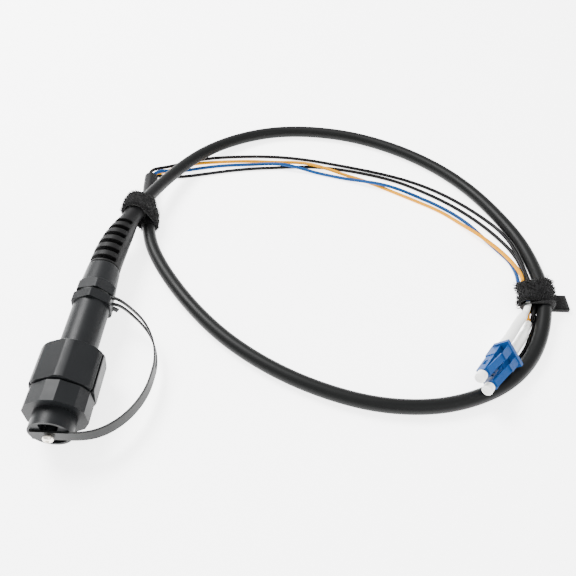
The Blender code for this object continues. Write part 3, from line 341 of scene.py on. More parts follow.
nylon = moulded_material("black_nylon", (0.0045, 0.0050, 0.0056), (0.0070, 0.0078, 0.0086),
                         0.42, shine=0.13)
rubber = moulded_material("black_rubber", (0.0030, 0.0030, 0.0032), (0.0055, 0.0055, 0.0058),
                          0.50, grain=1800.0, depth=0.2, shine=0.12)
jacket = moulded_material("cable_jacket", (0.0022, 0.0025, 0.0025), (0.0040, 0.0043, 0.0043),
                          0.46, grain=1500.0, depth=0.16, patch=45.0, shine=0.12)
black_leg = moulded_material("black_leg", (0.0016, 0.0016, 0.0018), (0.0030, 0.0030, 0.0032),
                             0.46, shine=0.12)
yellow_leg = moulded_material("yellow_leg", (0.50, 0.20, 0.0005), (0.60, 0.26, 0.001),
                              0.55, shine=0.05)
blue_leg = moulded_material("blue_leg", (0.0005, 0.030, 0.120), (0.001, 0.040, 0.150),
                            0.46, shine=0.15)
strap_plastic = moulded_material("strap_plastic", (0.006, 0.0065, 0.0065),
                                 (0.009, 0.0096, 0.0096), 0.40, depth=0.06, shine=0.13)
blue_plastic = moulded_material("blue_plastic", (0.0005, 0.036, 0.150), (0.001, 0.048, 0.190),
                                0.48, depth=0.08, shine=0.12)
white_plastic = moulded_material("white_plastic", (0.78, 0.78, 0.76), (0.87, 0.87, 0.85),
                                 0.36, depth=0.06)
ceramic = moulded_material("ferrule_ceramic", (0.86, 0.85, 0.80), (0.93, 0.92, 0.88),
                           0.16, depth=0.02)
print("moulded materials ready")

# %% [markdown]
# Each cord gets its finish and joins the cable's body, and its CAD node is hidden.

def finish_piece(piece, material, body, slot, *nodes):
    """One call for what every piece needs: its finish, its body, its slot (not used) and its
    nodes.
    """
    piece.data.materials.clear()
    piece.data.materials.append(material)
    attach(piece, body)
    if nodes:
        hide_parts(*nodes)


finish_piece(cable, jacket, ROOT, "cable_jacket", "cable")
finish_piece(sleeve, rubber, ROOT, "black_rubber", "breakout_sleeve")
finish_piece(legs["leg_yellow"], yellow_leg, ROOT, "yellow_leg", "leg_yellow")
finish_piece(legs["leg_blue"], blue_leg, ROOT, "blue_leg", "leg_blue")
finish_piece(legs["leg_black_upper"], black_leg, ROOT, "black_leg", "leg_black_upper")
finish_piece(legs["leg_black_lower"], black_leg, ROOT, "black_leg", "leg_black_lower")

# %% [markdown]
# The plug's pieces share one axis. A turned piece is drawn as half a section, the radius against
# the station along the axis, and spun. Hexagons and grip pads are then milled flat with cutting
# planes, which leaves the same edges that a milling cutter does.

# %% Turning and milling
PLUG = (Matrix.Translation((-0.1100, -0.1197, 0.0145)) @ Matrix.Rotation(-math.pi / 2, 4, "X"))


def spin_section(profile, steps, start=0.0, closed=False):
    """Turn a section of (radius, station) round Z. Angle 0 is up, and it grows to the right."""
    bm = bmesh.new()
    side, up = math.sin(start), -math.cos(start)
    verts = [bm.verts.new((radius * side, radius * up, station)) for radius, station in profile]
    pairs = list(zip(verts, verts[1:]))
    if closed:
        pairs.append((verts[-1], verts[0]))
    edges = [bm.edges.new(pair) for pair in pairs]
    bmesh.ops.spin(bm, geom=verts + edges, cent=(0, 0, 0), axis=(0, 0, 1), dvec=(0, 0, 0),
                   angle=2 * math.pi, steps=steps, use_merge=True)
    bmesh.ops.remove_doubles(bm, verts=bm.verts, dist=1e-7)
    bmesh.ops.holes_fill(bm, edges=[e for e in bm.edges if e.is_boundary], sides=0)
    bmesh.ops.recalc_face_normals(bm, faces=bm.faces)
    return bm


def block(low, high):
    bm = bmesh.new()
    bmesh.ops.create_cube(bm, size=1.0)
    size = [b - a for a, b in zip(low, high)]
    bmesh.ops.scale(bm, vec=size, verts=bm.verts)
    bmesh.ops.translate(bm, vec=[(a + b) / 2 for a, b in zip(low, high)], verts=bm.verts)
    return bm


def close_cut(bm, cut):
    """Fill the opening that a cutting plane left."""
    rim = [item for item in cut["geom_cut"] if isinstance(item, bmesh.types.BMEdge)]
    bmesh.ops.contextual_create(bm, geom=rim)


def set_round_axis(bm, angle):
    """Set a shape drawn as X across, Y outward, Z along at an angle round the axis."""
    out = Vector((math.sin(angle), -math.cos(angle), 0.0))
    across = Vector((-math.cos(angle), -math.sin(angle), 0.0))
    for vert in bm.verts:
        vert.co = across * vert.co.x + out * vert.co.y + Vector((0.0, 0.0, vert.co.z))


def aimed(place, aim):
    """The matrix that sets a shape at a place with its Z along a direction."""
    return Matrix.Translation(place) @ aim.to_track_quat("Z", "Y").to_matrix().to_4x4()


def mill_flats(bm, distance, turn, low, high):
    """Cut six flats at a distance from the axis, between two stations."""
    for i in range(6):
        angle = turn + 2 * math.pi * i / 6
        outward = Vector((math.sin(angle), -math.cos(angle), 0.0))
        faces = [f for f in bm.faces if low <= f.calc_center_median().z <= high]
        edges = {e for f in faces for e in f.edges}
        verts = {v for f in faces for v in f.verts}
        cut = bmesh.ops.bisect_plane(bm, geom=faces + list(edges) + list(verts), dist=1e-8,
                                     plane_co=outward * distance, plane_no=outward,
                                     clear_outer=True)
        close_cut(bm, cut)
    bmesh.ops.recalc_face_normals(bm, faces=bm.faces)


def make_piece(name, bm, matrix=None, edge=0.0, angle=28):
    """A finished object at the origin: placed in its mesh, with softened edges."""
    if matrix is not None:
        bmesh.ops.transform(bm, matrix=matrix, verts=bm.verts)
    mesh = bpy.data.meshes.new(name)
    bm.to_mesh(mesh)
    bm.free()
    mesh.shade_smooth()
    piece = add_object(name, mesh)
    if edge > 0:
        bevel = piece.modifiers.new("soft_edges", "BEVEL")
        bevel.width = edge
        bevel.segments = 2
        bevel.limit_method = "ANGLE"
        bevel.angle_limit = math.radians(angle)
        bevel.use_clamp_overlap = True
        weight = piece.modifiers.new("flat_faces_first", "WEIGHTED_NORMAL")
        weight.keep_sharp = True
        weight.weight = 80
    print(name, "faces", len(mesh.polygons))
    return piece


def carve(bm, tool, operation):
    """Join a tool shape to a piece, or cut it out, and give the result as a new bmesh."""
    things = []
    for label, source in (("work", bm), ("tool", tool)):
        mesh = bpy.data.meshes.new(label)
        source.to_mesh(mesh)
        source.free()
        things.append(add_object(label, mesh))
    work, cutter = things
    modifier = work.modifiers.new("carve", "BOOLEAN")
    modifier.operation = operation
    modifier.solver = "EXACT"
    modifier.object = cutter
    done = bpy.data.meshes.new_from_object(work.evaluated_get(
        bpy.context.evaluated_depsgraph_get()))
    result = bmesh.new()
    result.from_mesh(done)
    for thing in things:
        mesh = thing.data
        bpy.data.objects.remove(thing)
        bpy.data.meshes.remove(mesh)
    bpy.data.meshes.remove(done)
    return result

# %% [markdown]
# The dust cap is a cup that plugs into the coupling nut. Its ring has six grip flats whose
# corners are cut, and a low recess surrounds the screw boss in front, filled at one side.

# %% Dust cap
CAP_FLATS, CAP_CORNERS = 0.0130, 0.0134     # from the axis
CAP_TURN = math.radians(30.5)
CAP_MILLED = (0.0104, 0.0205)
CAP_WEB = 0.0030        # how far the recess is filled from its side


def dust_cap_shape():
    neck, wall = 0.0091, 0.0013
    bm = spin_section([
        (0.0014, 0.0066), (0.0014, 0.0028), (0.0024, 0.0028), (0.0024, 0.0065),
        (neck - wall, 0.0065), (neck - wall, 0.0030), (neck, 0.0030), (neck, 0.0106),
        (0.0146, 0.0106), (0.0146, 0.0203), (0.0096, 0.0203), (0.0096, 0.0327),
        (0.0075, 0.0327), (0.0075, 0.0089)], 96)
    mill_flats(bm, CAP_FLATS, CAP_TURN, *CAP_MILLED)
    mill_flats(bm, CAP_CORNERS, CAP_TURN - math.radians(30), *CAP_MILLED)
    web = spin_section([(neck - wall / 2, 0.0030), (neck - wall / 2, 0.0068)], 64)
    bmesh.ops.holes_fill(web, edges=[e for e in web.edges if e.is_boundary], sides=0)
    side = bmesh.ops.bisect_plane(web, geom=web.verts[:] + web.edges[:] + web.faces[:],
                                  plane_co=(-CAP_WEB, 0, 0), plane_no=(1, 0, 0), clear_outer=True)
    close_cut(web, side)
    bmesh.ops.recalc_face_normals(web, faces=web.faces)
    return carve(bm, web, "UNION")


cap = make_piece("dust_cap_shell", dust_cap_shape(), PLUG, edge=0.00022)
finish_piece(cap, nylon, CAP_BODY, "black_nylon", "dust_cap")

# %% [markdown]
# The coupling nut is a thick ring with six flat pads for the fingers, and narrow ridges of the
# full diameter between them. Shallow grooves run along some of its ridges.

# %% Coupling nut
NUT_PAD_TURN = math.radians(-21.5)
NUT_PAD = 0.0136        # from the axis
GROOVE_ANGLES = [math.radians(angle) for angle in (-56, 73, 133, 193, 253)]
GROOVE_HALF, GROOVE_FLOOR = 0.0005, 0.0131


def coupling_nut_shape():
    outer, bore, back = 0.0145, 0.0102, 0.0088
    bm = spin_section([
        (bore + 0.0004, 0.0211), (outer - 0.0006, 0.0211), (outer, 0.0217), (outer, 0.0401),
        (outer - 0.0006, 0.0407), (back, 0.0407), (back, 0.0373), (bore, 0.0373),
        (bore, 0.0215)], 72, start=NUT_PAD_TURN, closed=True)
    mill_flats(bm, NUT_PAD, NUT_PAD_TURN, 0.0205, 0.0412)
    for angle in GROOVE_ANGLES:
        groove = block((-GROOVE_HALF, GROOVE_FLOOR, 0.0200), (GROOVE_HALF, 0.0160, 0.0420))
        set_round_axis(groove, angle)
        bm = carve(bm, groove, "DIFFERENCE")
    return bm


nut = make_piece("coupling_nut_ring", coupling_nut_shape(), PLUG, edge=0.0003)
finish_piece(nut, nylon, NUT_BODY, "black_nylon", "coupling_nut")

# %% [markdown]
# The plug's body is one moulded tube with a hexagonal flange. Only its tube and flange show: the
# nose and the shoulder are inside the cap and the nut.

# %% Plug body
FLANGE_FLATS, FLANGE_TURN = 0.0090, math.radians(37)


def plug_body_shape():
    bm = spin_section([
        (0.0066, 0.0140), (0.0069, 0.0143), (0.0069, 0.0333), (0.0099, 0.0333),
        (0.0099, 0.0369), (0.0085, 0.0369), (0.0085, 0.0690), (0.01009, 0.0690),
        (0.01009, 0.0738), (0.0061, 0.0738), (0.0061, 0.0819)], 96)
    mill_flats(bm, FLANGE_FLATS, FLANGE_TURN, 0.0688, 0.0740)
    return bm


body = make_piece("plug_tube", plug_body_shape(), PLUG, edge=0.00018)
finish_piece(body, nylon, ROOT, "black_nylon", "plug_body")

# %% [markdown]
# The gland nut clamps the cable: a short hexagon, then a tail that tapers to the boot.

# %% Gland nut
GLAND_FLATS, GLAND_TURN = 0.0088, math.radians(47)


def gland_nut_shape():
    bm = spin_section([
        (0.0064, 0.0753), (0.00976, 0.0753), (0.00976, 0.0806), (0.0087, 0.0818),
        (0.0081, 0.0930), (0.0078, 0.0938), (0.0038, 0.0938), (0.0038, 0.0822),
        (0.0064, 0.0822)], 96, closed=True)
    mill_flats(bm, GLAND_FLATS, GLAND_TURN, 0.0751, 0.0816)
    return bm


gland = make_piece("gland_nut_hexagon", gland_nut_shape(), PLUG, edge=0.00018)
finish_piece(gland, nylon, ROOT, "black_nylon", "gland_nut")

# %% [markdown]
# The boot keeps the cable from kinking. Six slots run about half way round it and let it bend,
# and its wall stays whole at the other side. The slots are pressed in from the skin.

# %% Cable boot
BOOT_START, BOOT_LENGTH = 0.0941, 0.0450
BOOT_LEAN = 0.0067      # how far its tip leans with the cable
BOOT_ROOT, BOOT_TIP = 0.0079, 0.0050
BOOT_WAIST, BOOT_TAPER = 0.84, 3        # share of the length where the taper ends, its power
BOOT_BORE = 0.0038
SLOT_PITCH, SLOT_WIDTH = 0.00576, 0.0027
SLOT_FROM, SLOT_TO = math.radians(-132), math.radians(56)
SLOT_FLOOR = 0.0040


def boot_radius(station):
    share = min(1.0, (station - BOOT_START) / BOOT_LENGTH / BOOT_WAIST)
    return BOOT_ROOT + (BOOT_TIP - BOOT_ROOT) * share ** BOOT_TAPER


def boot_shape():
    slots = [BOOT_START + 0.0013 + i * SLOT_PITCH for i in range(6)]
    stations = [BOOT_START, BOOT_START + 0.0006]
    for low in slots:
        stations += [low, low + SLOT_WIDTH]
    waist = BOOT_START + BOOT_WAIST * BOOT_LENGTH
    end = BOOT_START + BOOT_LENGTH
    stations += [station for station in (waist - 0.004, waist, end - 0.0012)
                 if station > slots[-1] + SLOT_WIDTH + 0.0004]
    profile = [(BOOT_BORE, BOOT_START)] + [(boot_radius(s), s) for s in stations]
    profile += [(0.0049, end - 0.0004), (0.0045, end), (BOOT_BORE, end)]
    profile += [(BOOT_BORE, BOOT_START + BOOT_LENGTH * share) for share in (0.75, 0.5, 0.25)]
    bm = spin_section(profile, 96, closed=True)
    for low in slots:
        sunk = []
        for face in bm.faces:
            middle = face.calc_center_median()
            angle = math.atan2(middle.x, -middle.y)
            if (low < middle.z < low + SLOT_WIDTH and SLOT_FROM < angle < SLOT_TO
                    and math.hypot(middle.x, middle.y) > SLOT_FLOOR + 0.0002):
                sunk.append(face)
        made = bmesh.ops.extrude_face_region(bm, geom=sunk)
        bmesh.ops.delete(bm, geom=sunk, context="FACES")
        for vert in {item for item in made["geom"] if isinstance(item, bmesh.types.BMVert)}:
            across = math.hypot(vert.co.x, vert.co.y)
            vert.co.x *= SLOT_FLOOR / across
            vert.co.y *= SLOT_FLOOR / across
    for vert in bm.verts:
        share = max(0.0, vert.co.z - BOOT_START) / BOOT_LENGTH
        vert.co.x += BOOT_LEAN * share ** 2
    bmesh.ops.recalc_face_normals(bm, faces=bm.faces)
    return bm


boot = make_piece("cable_boot_sleeve", boot_shape(), PLUG, edge=0.0003, angle=40)
finish_piece(boot, rubber, ROOT, "black_rubber", "cable_boot")

# %% [markdown]
# The screw is the one bright spot of the plug: a small nickel pan head. A plain metal would look
# flat, so its gloss is broken up by fine turning marks that run round its axis.

# %% Cap screw
def nickel_material():
    material, tree, shader = new_material("nickel_screw")
    set_inputs(shader, Base_Color=(0.74, 0.70, 0.62, 1.0), Metallic=1.0)
    place = add_node(tree, "ShaderNodeTexCoord")
    centre = add_node(tree, "ShaderNodeMapping", vector_type="POINT")
    set_inputs(centre, Location=(0.1100, 0.1202, -0.0145))
    rings = add_node(tree, "ShaderNodeTexWave", wave_type="RINGS", rings_direction="Y")
    set_inputs(rings, Scale=900.0, Distortion=1.5)
    gloss = add_node(tree, "ShaderNodeMapRange")
    set_inputs(gloss, To_Min=0.16, To_Max=0.32)
    wire(tree, (place, "Object", centre, "Vector"), (centre, "Vector", rings, "Vector"),
         (rings, "Fac", gloss, "Value"), (gloss, "Result", shader, "Roughness"))
    return material


nickel = nickel_material()


def cap_screw_shape():
    return spin_section([
        (0.0007, 0.0004), (0.0009, -0.0005), (0.0012, -0.0005), (0.0018, -0.0002),
        (0.0022, 0.0003), (0.0023, 0.0008), (0.0023, 0.0013), (0.0011, 0.0013),
        (0.0011, 0.0063)], 48)


screw = make_piece("cap_screw_head", cap_screw_shape(), PLUG, edge=0.00008)
finish_piece(screw, nickel, CAP_BODY, "nickel_screw", "cap_screw")

# %% [markdown]
# The lanyard is one thin strap on edge. It is extruded step by step along its route, four points
# high, so that its middle can be left open where it splits into two strands.

# %% Cap lanyard
LANYARD_HALF = 0.0029
LANYARD_STRAND = 0.0016
LANYARD_SPREAD = 0.0030
LANYARD_ROOT = 0.0024
LANYARD_THICKNESS = 0.0009
RING_BORE, RING_RADIUS = 0.0064, 0.0088
RING_START, RING_END = 0.0741, 0.0750
TAB_ANGLE = math.radians(128)


def lanyard_heights(share):
    """Heights of the four edges over the route, along the slit from 0 to 1."""
    root = LANYARD_HALF - LANYARD_STRAND / 2
    straight = root + (LANYARD_ROOT - root) * share
    bulge = LANYARD_SPREAD - (root + LANYARD_ROOT) / 2
    middle = straight + bulge * math.sin(math.pi * share) ** 2
    return (-middle - LANYARD_STRAND / 2, -middle + LANYARD_STRAND / 2,
            middle - LANYARD_STRAND / 2, middle + LANYARD_STRAND / 2)


def lanyard_band():
    band = read_route(LANYARD_ROUTE[:LANYARD_SLIT_START + 1], 0.0012)
    strands = read_route(LANYARD_ROUTE[LANYARD_SLIT_START - 1:], 0.0012)
    join = min(range(len(strands)), key=lambda i: (strands[i] - band[-1]).length)
    path = band + strands[join + 1:]
    bm = bmesh.new()
    for i, place in enumerate(path):
        share = max(0.0, (i - len(band) + 1) / (len(path) - len(band)))
        heights = lanyard_heights(share)
        points = [place + Vector((0.0, 0.0, height)) for height in heights]
        if i == 0:
            column = [bm.verts.new(point) for point in points]
            edges = [bm.edges.new(pair) for pair in zip(column, column[1:])]
            continue
        made = bmesh.ops.extrude_edge_only(bm, edges=edges)["geom"]
        column = sorted((v for v in made if isinstance(v, bmesh.types.BMVert)),
                        key=lambda v: v.co.z)
        edges = [e for e in made if isinstance(e, bmesh.types.BMEdge)
                 and e.verts[0] in column and e.verts[1] in column]
        for vert, point in zip(column, points):
            vert.co = point
        for face in [f for e in edges for f in e.link_faces]:
            low = min(v.co.z - place.z for v in face.verts)
            high = max(v.co.z - place.z for v in face.verts)
            if share > 0.02 and low < 0 < high:
                bm.faces.remove(face)
    loose = [e for e in bm.edges if not e.link_faces]
    bmesh.ops.delete(bm, geom=loose, context="EDGES")
    bmesh.ops.recalc_face_normals(bm, faces=bm.faces)
    bmesh.ops.solidify(bm, geom=bm.faces[:], thickness=LANYARD_THICKNESS)
    bmesh.ops.recalc_face_normals(bm, faces=bm.faces)
    return bm


def lanyard_end(bm):
    """The clamped ring round the thread, with the strap's loose tab, joined to the band."""
    ring = spin_section([(RING_BORE, RING_START), (RING_RADIUS, RING_START),
                         (RING_RADIUS, RING_END), (RING_BORE, RING_END)], 64, closed=True)
    tab = block((-0.0012, 0.0080, 0.07412), (0.0012, 0.0126, 0.07498))
    set_round_axis(tab, TAB_ANGLE)
    end = carve(ring, tab, "UNION")
    bmesh.ops.transform(end, matrix=PLUG, verts=end.verts)
    return carve(bm, end, "UNION")


lanyard = make_piece("cap_strap", lanyard_end(lanyard_band()), edge=0.00012, angle=50)
lanyard.data.materials.append(strap_plastic)
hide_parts("cap_lanyard")

# %% [markdown]
# Hook-and-loop tie: a strip of soft pile wound round the cables. The pile looks black and drinks
# the light, so its material is rough with a sheen, and rows of bristles break its outline. A band
# alone would look like rubber.

# %% Material of the ties
def pile_material():
    material, tree, shader = new_material("hook_and_loop")
    set_inputs(shader, Roughness=0.92, Specular_IOR_Level=0.15, Sheen_Weight=0.08,
               Sheen_Roughness=0.5)
    place = add_node(tree, "ShaderNodeTexCoord")
    loops = add_node(tree, "ShaderNodeTexVoronoi", feature="F1")
    set_inputs(loops, Scale=1500.0)
    tufts = add_node(tree, "ShaderNodeTexNoise")
    set_inputs(tufts, Scale=420.0, Detail=4.0)
    tone = add_node(tree, "ShaderNodeMix", data_type="RGBA")
    set_inputs(tone, A=(0.0008, 0.0008, 0.0008, 1.0), B=(0.0040, 0.0040, 0.0044, 1.0))
    bump = add_node(tree, "ShaderNodeBump")
    set_inputs(bump, Strength=0.8, Distance=0.0004)
    wire(tree, (place, "Object", loops, "Vector"), (place, "Object", tufts, "Vector"),
         (tufts, "Fac", tone, "Factor"), (loops, "Distance", bump, "Height"),
         (tone, "Result", shader, "Base Color"), (bump, "Normal", shader, "Normal"))
    return material


pile = pile_material()

# %% Bands of the ties
TIE_A_Y, TIE_A_WIDTH = 0.0243, 0.0120
TIE_A_BUNDLES = [
    ((-0.1036, 0.0145, 0.0055), (-0.0976, 0.0056, 0.0039)),
    ((-0.1040, 0.0144, 0.0050), (-0.1018, 0.0142, 0.0037), (-0.0987, 0.0056, 0.0040)),
    ((-0.1036, 0.0140, 0.0047), (-0.1000, 0.0136, 0.0037), (-0.0998, 0.0056, 0.0040)),
]
TIE_B_Y, TIE_B_WIDTH = -0.0250, 0.0145
TIE_B_BUNDLES = [
    ((0.1098, 0.0051, 0.0035), (0.1028, 0.0028, 0.0011), (0.1010, 0.0062, 0.0020)),
    ((0.1111, 0.0052, 0.0035), (0.1040, 0.0027, 0.0011), (0.1032, 0.0053, 0.0015)),
    ((0.1118, 0.0051, 0.0035), (0.1041, 0.0027, 0.0011), (0.1022, 0.0040, 0.0011)),
]
TIE_CLEAR, TIE_WALL = 0.0003, 0.0012
TIE_CORNERS = 112
TIE_STEPS = 6
TIE_LOWEST = 0.0001     # the band stays above the table
BRISTLE_LOWEST = 0.0004         # no bristle tip goes below this height
BRISTLE_ROW = 2.6       # rows of bristles, in bristle radii


def between(bundles, share):
    """The wrapped circles part of the way along a tie's width."""
    at = share * (len(bundles) - 1)
    i = min(int(at), len(bundles) - 2)
    low, high = bundles[i], bundles[i + 1]
    if len(low) < len(high):
        low = (low[0], *low)
    part = at - i
    return [tuple(a + (b - a) * part for a, b in zip(one, two)) for one, two in zip(low, high)]


def wrapped_ring(circles, extra, y):
    points = []
    for i in range(TIE_CORNERS):
        angle = 2 * math.pi * i / TIE_CORNERS
        over, up = math.cos(angle), math.sin(angle)
        x, z, radius = max(circles, key=lambda c: c[0] * over + c[1] * up + c[2])
        points.append(Vector((x + (radius + extra) * over, y, z + (radius + extra) * up)))
    return points


def tie_band(bundles, middle, width, crown=0.0, wall=TIE_WALL):
    """A closed band: rings of one circle each, bridged in a stack and then set in place."""
    shares = [i / TIE_STEPS for i in range(TIE_STEPS + 1)]
    loops = []
    for share in shares:
        loops.append(wrapped_ring(between(bundles, share), TIE_CLEAR,
                                  middle + width * (share - 0.5)))
    for share in reversed(shares):
        swell = crown * (1 - (2 * share - 1) ** 2)
        loops.append(wrapped_ring(between(bundles, share), TIE_CLEAR + wall + swell,
                                  middle + width * (share - 0.5)))
    bm = bmesh.new()
    rings = []
    for level in range(len(loops)):
        made = bmesh.ops.create_circle(bm, cap_ends=False, radius=1.0, segments=TIE_CORNERS,
                                       matrix=Matrix.Translation((0.0, 0.0, level)))
        rings.append(made["verts"])
    edges = [list({e for v in ring for e in v.link_edges}) for ring in rings]
    for first, second in zip(edges, edges[1:] + edges[:1]):
        bmesh.ops.bridge_loops(bm, edges=first + second)
    for ring, loop in zip(rings, loops):
        for vert, point in zip(ring, loop):
            vert.co = point
            vert.co.z = max(vert.co.z, TIE_LOWEST)
    bmesh.ops.recalc_face_normals(bm, faces=bm.faces)
    return bm


def add_bristles(bm, bundles, middle, width, pitch, length, thick, lean, seed):
    """Rows of bristles round the band, which give it its ribs and its rough outline."""
    draw = random.Random(seed)
    rows = int(width / (thick * BRISTLE_ROW))
    for row in range(rows):
        share = (row + 0.5) / rows
        y = middle + width * (share - 0.5)
        ring = wrapped_ring(between(bundles, share), TIE_CLEAR + TIE_WALL, y)
        walked = draw.uniform(0, pitch * 0.25)
        for i, place in enumerate(ring):
            after = ring[(i + 1) % len(ring)]
            walked += (after - place).length
            angle = 2 * math.pi * i / TIE_CORNERS
            normal = Vector((math.cos(angle), 0.0, math.sin(angle)))
            while walked > pitch:
                walked -= pitch
                aim = (normal + Vector((draw.gauss(0, lean), draw.gauss(0, lean),
                                        draw.gauss(0, lean)))).normalized()
                tall = length * draw.uniform(0.6, 1.15)
                spot = place.lerp(after, draw.random())
                if spot.z + aim.z * tall < BRISTLE_LOWEST:
                    continue
                bmesh.ops.create_cone(bm, cap_ends=True, segments=3, radius1=thick,
                                      radius2=thick * 0.45, depth=tall,
                                      matrix=aimed(spot + aim * tall * 0.4, aim))


# %% Tie at the plug
def plug_tie_shape():
    bm = tie_band(TIE_A_BUNDLES, TIE_A_Y, TIE_A_WIDTH, crown=0.0003)
    add_bristles(bm, TIE_A_BUNDLES, TIE_A_Y, TIE_A_WIDTH + 0.0006, pitch=0.0008,
                 length=0.0014, thick=0.00016, lean=0.55, seed=3)
    return bm


plug_tie = make_piece("tie_near_plug", plug_tie_shape())
finish_piece(plug_tie, pile, ROOT, "hook_and_loop", "tie_at_plug")

# %% Tie round the legs
TAIL_LENGTH, TAIL_WIDTH, TAIL_THICK = 0.0084, 0.0095, 0.0022
STRIP_WIDTH, STRIP_WALL, STRIP_AHEAD = 0.0026, 0.0007, 0.0008


def leg_tie_shape():
    bm = tie_band(TIE_B_BUNDLES, TIE_B_Y, TIE_B_WIDTH, crown=0.0004)
    x, z, radius = TIE_B_BUNDLES[1][0]
    start = x + radius * 0.6
    length = radius * 0.4 + TIE_WALL + TAIL_LENGTH
    low = z - radius - TIE_CLEAR - TIE_WALL
    tail = bmesh.new()
    bmesh.ops.create_cube(tail, size=1.0)
    bmesh.ops.scale(tail, vec=(length, TAIL_WIDTH, TAIL_THICK), verts=tail.verts)
    bmesh.ops.translate(tail, vec=(start + length / 2, TIE_B_Y - TIE_B_WIDTH / 2 + TAIL_WIDTH / 2,
                                   low + TAIL_THICK / 2), verts=tail.verts)
    bmesh.ops.subdivide_edges(tail, edges=tail.edges[:], cuts=5, use_grid_fill=True)
    joined = carve(bm, tail, "UNION")
    add_bristles(joined, TIE_B_BUNDLES, TIE_B_Y, TIE_B_WIDTH, pitch=0.0012,
                 length=0.0021, thick=0.00024, lean=0.22, seed=5)
    return joined


def inner_strip_shape():
    """The smooth start of the strap, a thin strip that shows in front of the pile."""
    return tie_band(TIE_B_BUNDLES, TIE_B_Y - TIE_B_WIDTH / 2 - STRIP_AHEAD, STRIP_WIDTH,
                    wall=STRIP_WALL)


leg_tie = make_piece("tie_round_legs", leg_tie_shape())
inner_strip = make_piece("tie_inner_strip", inner_strip_shape(), edge=0.0001, angle=50)
finish_piece(inner_strip, pile, ROOT, "hook_and_loop")
finish_piece(leg_tie, pile, ROOT, "hook_and_loop", "tie_at_legs")

# %% [markdown]
# The duplex connector is drawn in a frame of its own, which starts at the middle of its front and
# runs towards its boots. Its two bodies are alike, so one function makes both.

# %% Duplex connector frame
DUPLEX = (Matrix.Translation((0.0707, -0.0836, 0.0139))
          @ Matrix.Rotation(math.radians(-34.2), 4, "Z")
          @ Matrix.Rotation(math.radians(-14.7), 4, "X")
          @ Matrix.Rotation(math.radians(40.4), 4, "Y"))
DUPLEX_SIDES = (("a", -1), ("b", 1))
LC_SPACING = 0.00625
HOUSING = 0.0045
HOUSING_LENGTH = 0.0130
SHELL = 0.0052
SHELL_LENGTH = 0.0090
LATCH_RISE = 0.0033
LEVER_HALF, TRIGGER_HALF = 0.0017, 0.0018
CLIP_TOP, CLIP_LENGTH, TRIGGER_REACH = 0.0068, 0.0022, 0.0074
CLIP_AIR, CHEEK = 0.0003, 0.0006


def side_profile(outline, low, high):
    """A plate whose outline is (along, up), pushed from one X to the other."""
    bm = bmesh.new()
    face = bm.faces.new([bm.verts.new((low, along, up)) for along, up in outline])
    made = bmesh.ops.extrude_face_region(bm, geom=[face])
    moved = [item for item in made["geom"] if isinstance(item, bmesh.types.BMVert)]
    bmesh.ops.translate(bm, vec=(high - low, 0.0, 0.0), verts=moved)
    bmesh.ops.recalc_face_normals(bm, faces=bm.faces)
    return bm


def round_along(profile, x, steps=40):
    """A turned piece whose axis is the connector's own."""
    bm = spin_section(profile, steps)
    bmesh.ops.transform(bm, matrix=Matrix.Translation((x, 0.0, 0.0))
                        @ Matrix.Rotation(-math.pi / 2, 4, "X"), verts=bm.verts)
    return bm

# %% Connector bodies
def connector_body_shape(side):
    x, half = side * LC_SPACING / 2, HOUSING / 2
    bm = block((x - half, 0.0, -half), (x + half, HOUSING_LENGTH, half))
    tip = half + LATCH_RISE
    lever = side_profile([(0.0009, half - 0.0004), (0.0009, half + 0.0004),
                          (HOUSING_LENGTH, tip), (HOUSING_LENGTH, tip - 0.0009),
                          (0.0039, half + 0.0001), (0.0039, half - 0.0004)],
                         x - LEVER_HALF, x + LEVER_HALF)
    bm = carve(bm, lever, "UNION")
    top = SHELL / 2
    start = HOUSING_LENGTH - 0.0004
    end = HOUSING_LENGTH + SHELL_LENGTH
    bm = carve(bm, block((x - top, start, -top), (x + top, end, top)), "UNION")
    for edge in (-1, 1):
        notch = block((x + edge * half - 0.0004, 0.0046, -0.0009),
                      (x + edge * half + 0.0004, 0.0082, 0.0009))
        bm = carve(bm, notch, "DIFFERENCE")
    bore = round_along([(0.0019, -0.0010), (0.0019, 0.0068)], x)
    return carve(bm, bore, "DIFFERENCE")


for letter, side in DUPLEX_SIDES:
    piece = make_piece(f"connector_body_{letter}", connector_body_shape(side), DUPLEX,
                       edge=0.00018)
    finish_piece(piece, blue_plastic, ROOT, "blue_plastic", f"lc_body_{letter}")

# %% [markdown]
# The clip bridges both bodies at their rear. Its two triggers lie over the latch levers.

# %% Duplex clip
def duplex_clip_shape():
    inner = LC_SPACING / 2 + SHELL / 2 + CLIP_AIR
    outer = inner + CHEEK
    under = SHELL / 2 + CLIP_AIR
    end = HOUSING_LENGTH + SHELL_LENGTH
    start = end - CLIP_LENGTH
    bm = block((-outer, start, under), (outer, end, CLIP_TOP))
    for side in (-1, 1):
        x = side * (inner + outer) / 2
        cheek = block((x - CHEEK / 2, start, -0.0010), (x + CHEEK / 2, end, under + 0.0005))
        bm = carve(bm, cheek, "UNION")
        low, high = HOUSING / 2 + LATCH_RISE + CLIP_AIR, CLIP_TOP - 0.0003
        tip = start - TRIGGER_REACH
        x = side * LC_SPACING / 2
        trigger = side_profile([(tip, low), (tip, high - 0.0006), (end - 0.0011, high),
                                (end - 0.0011, high - 0.0009), (HOUSING_LENGTH + 0.0003, low)],
                               x - TRIGGER_HALF, x + TRIGGER_HALF)
        bm = carve(bm, trigger, "UNION")
    return bm


clip = make_piece("duplex_bridge", duplex_clip_shape(), DUPLEX, edge=0.00018)
finish_piece(clip, blue_plastic, ROOT, "blue_plastic", "duplex_clip")

# %% [markdown]
# Each connector wears a small white cap with a dished front, and a white boot behind. The boot is
# swept along its own short route, and two slits near its tip let it flex.

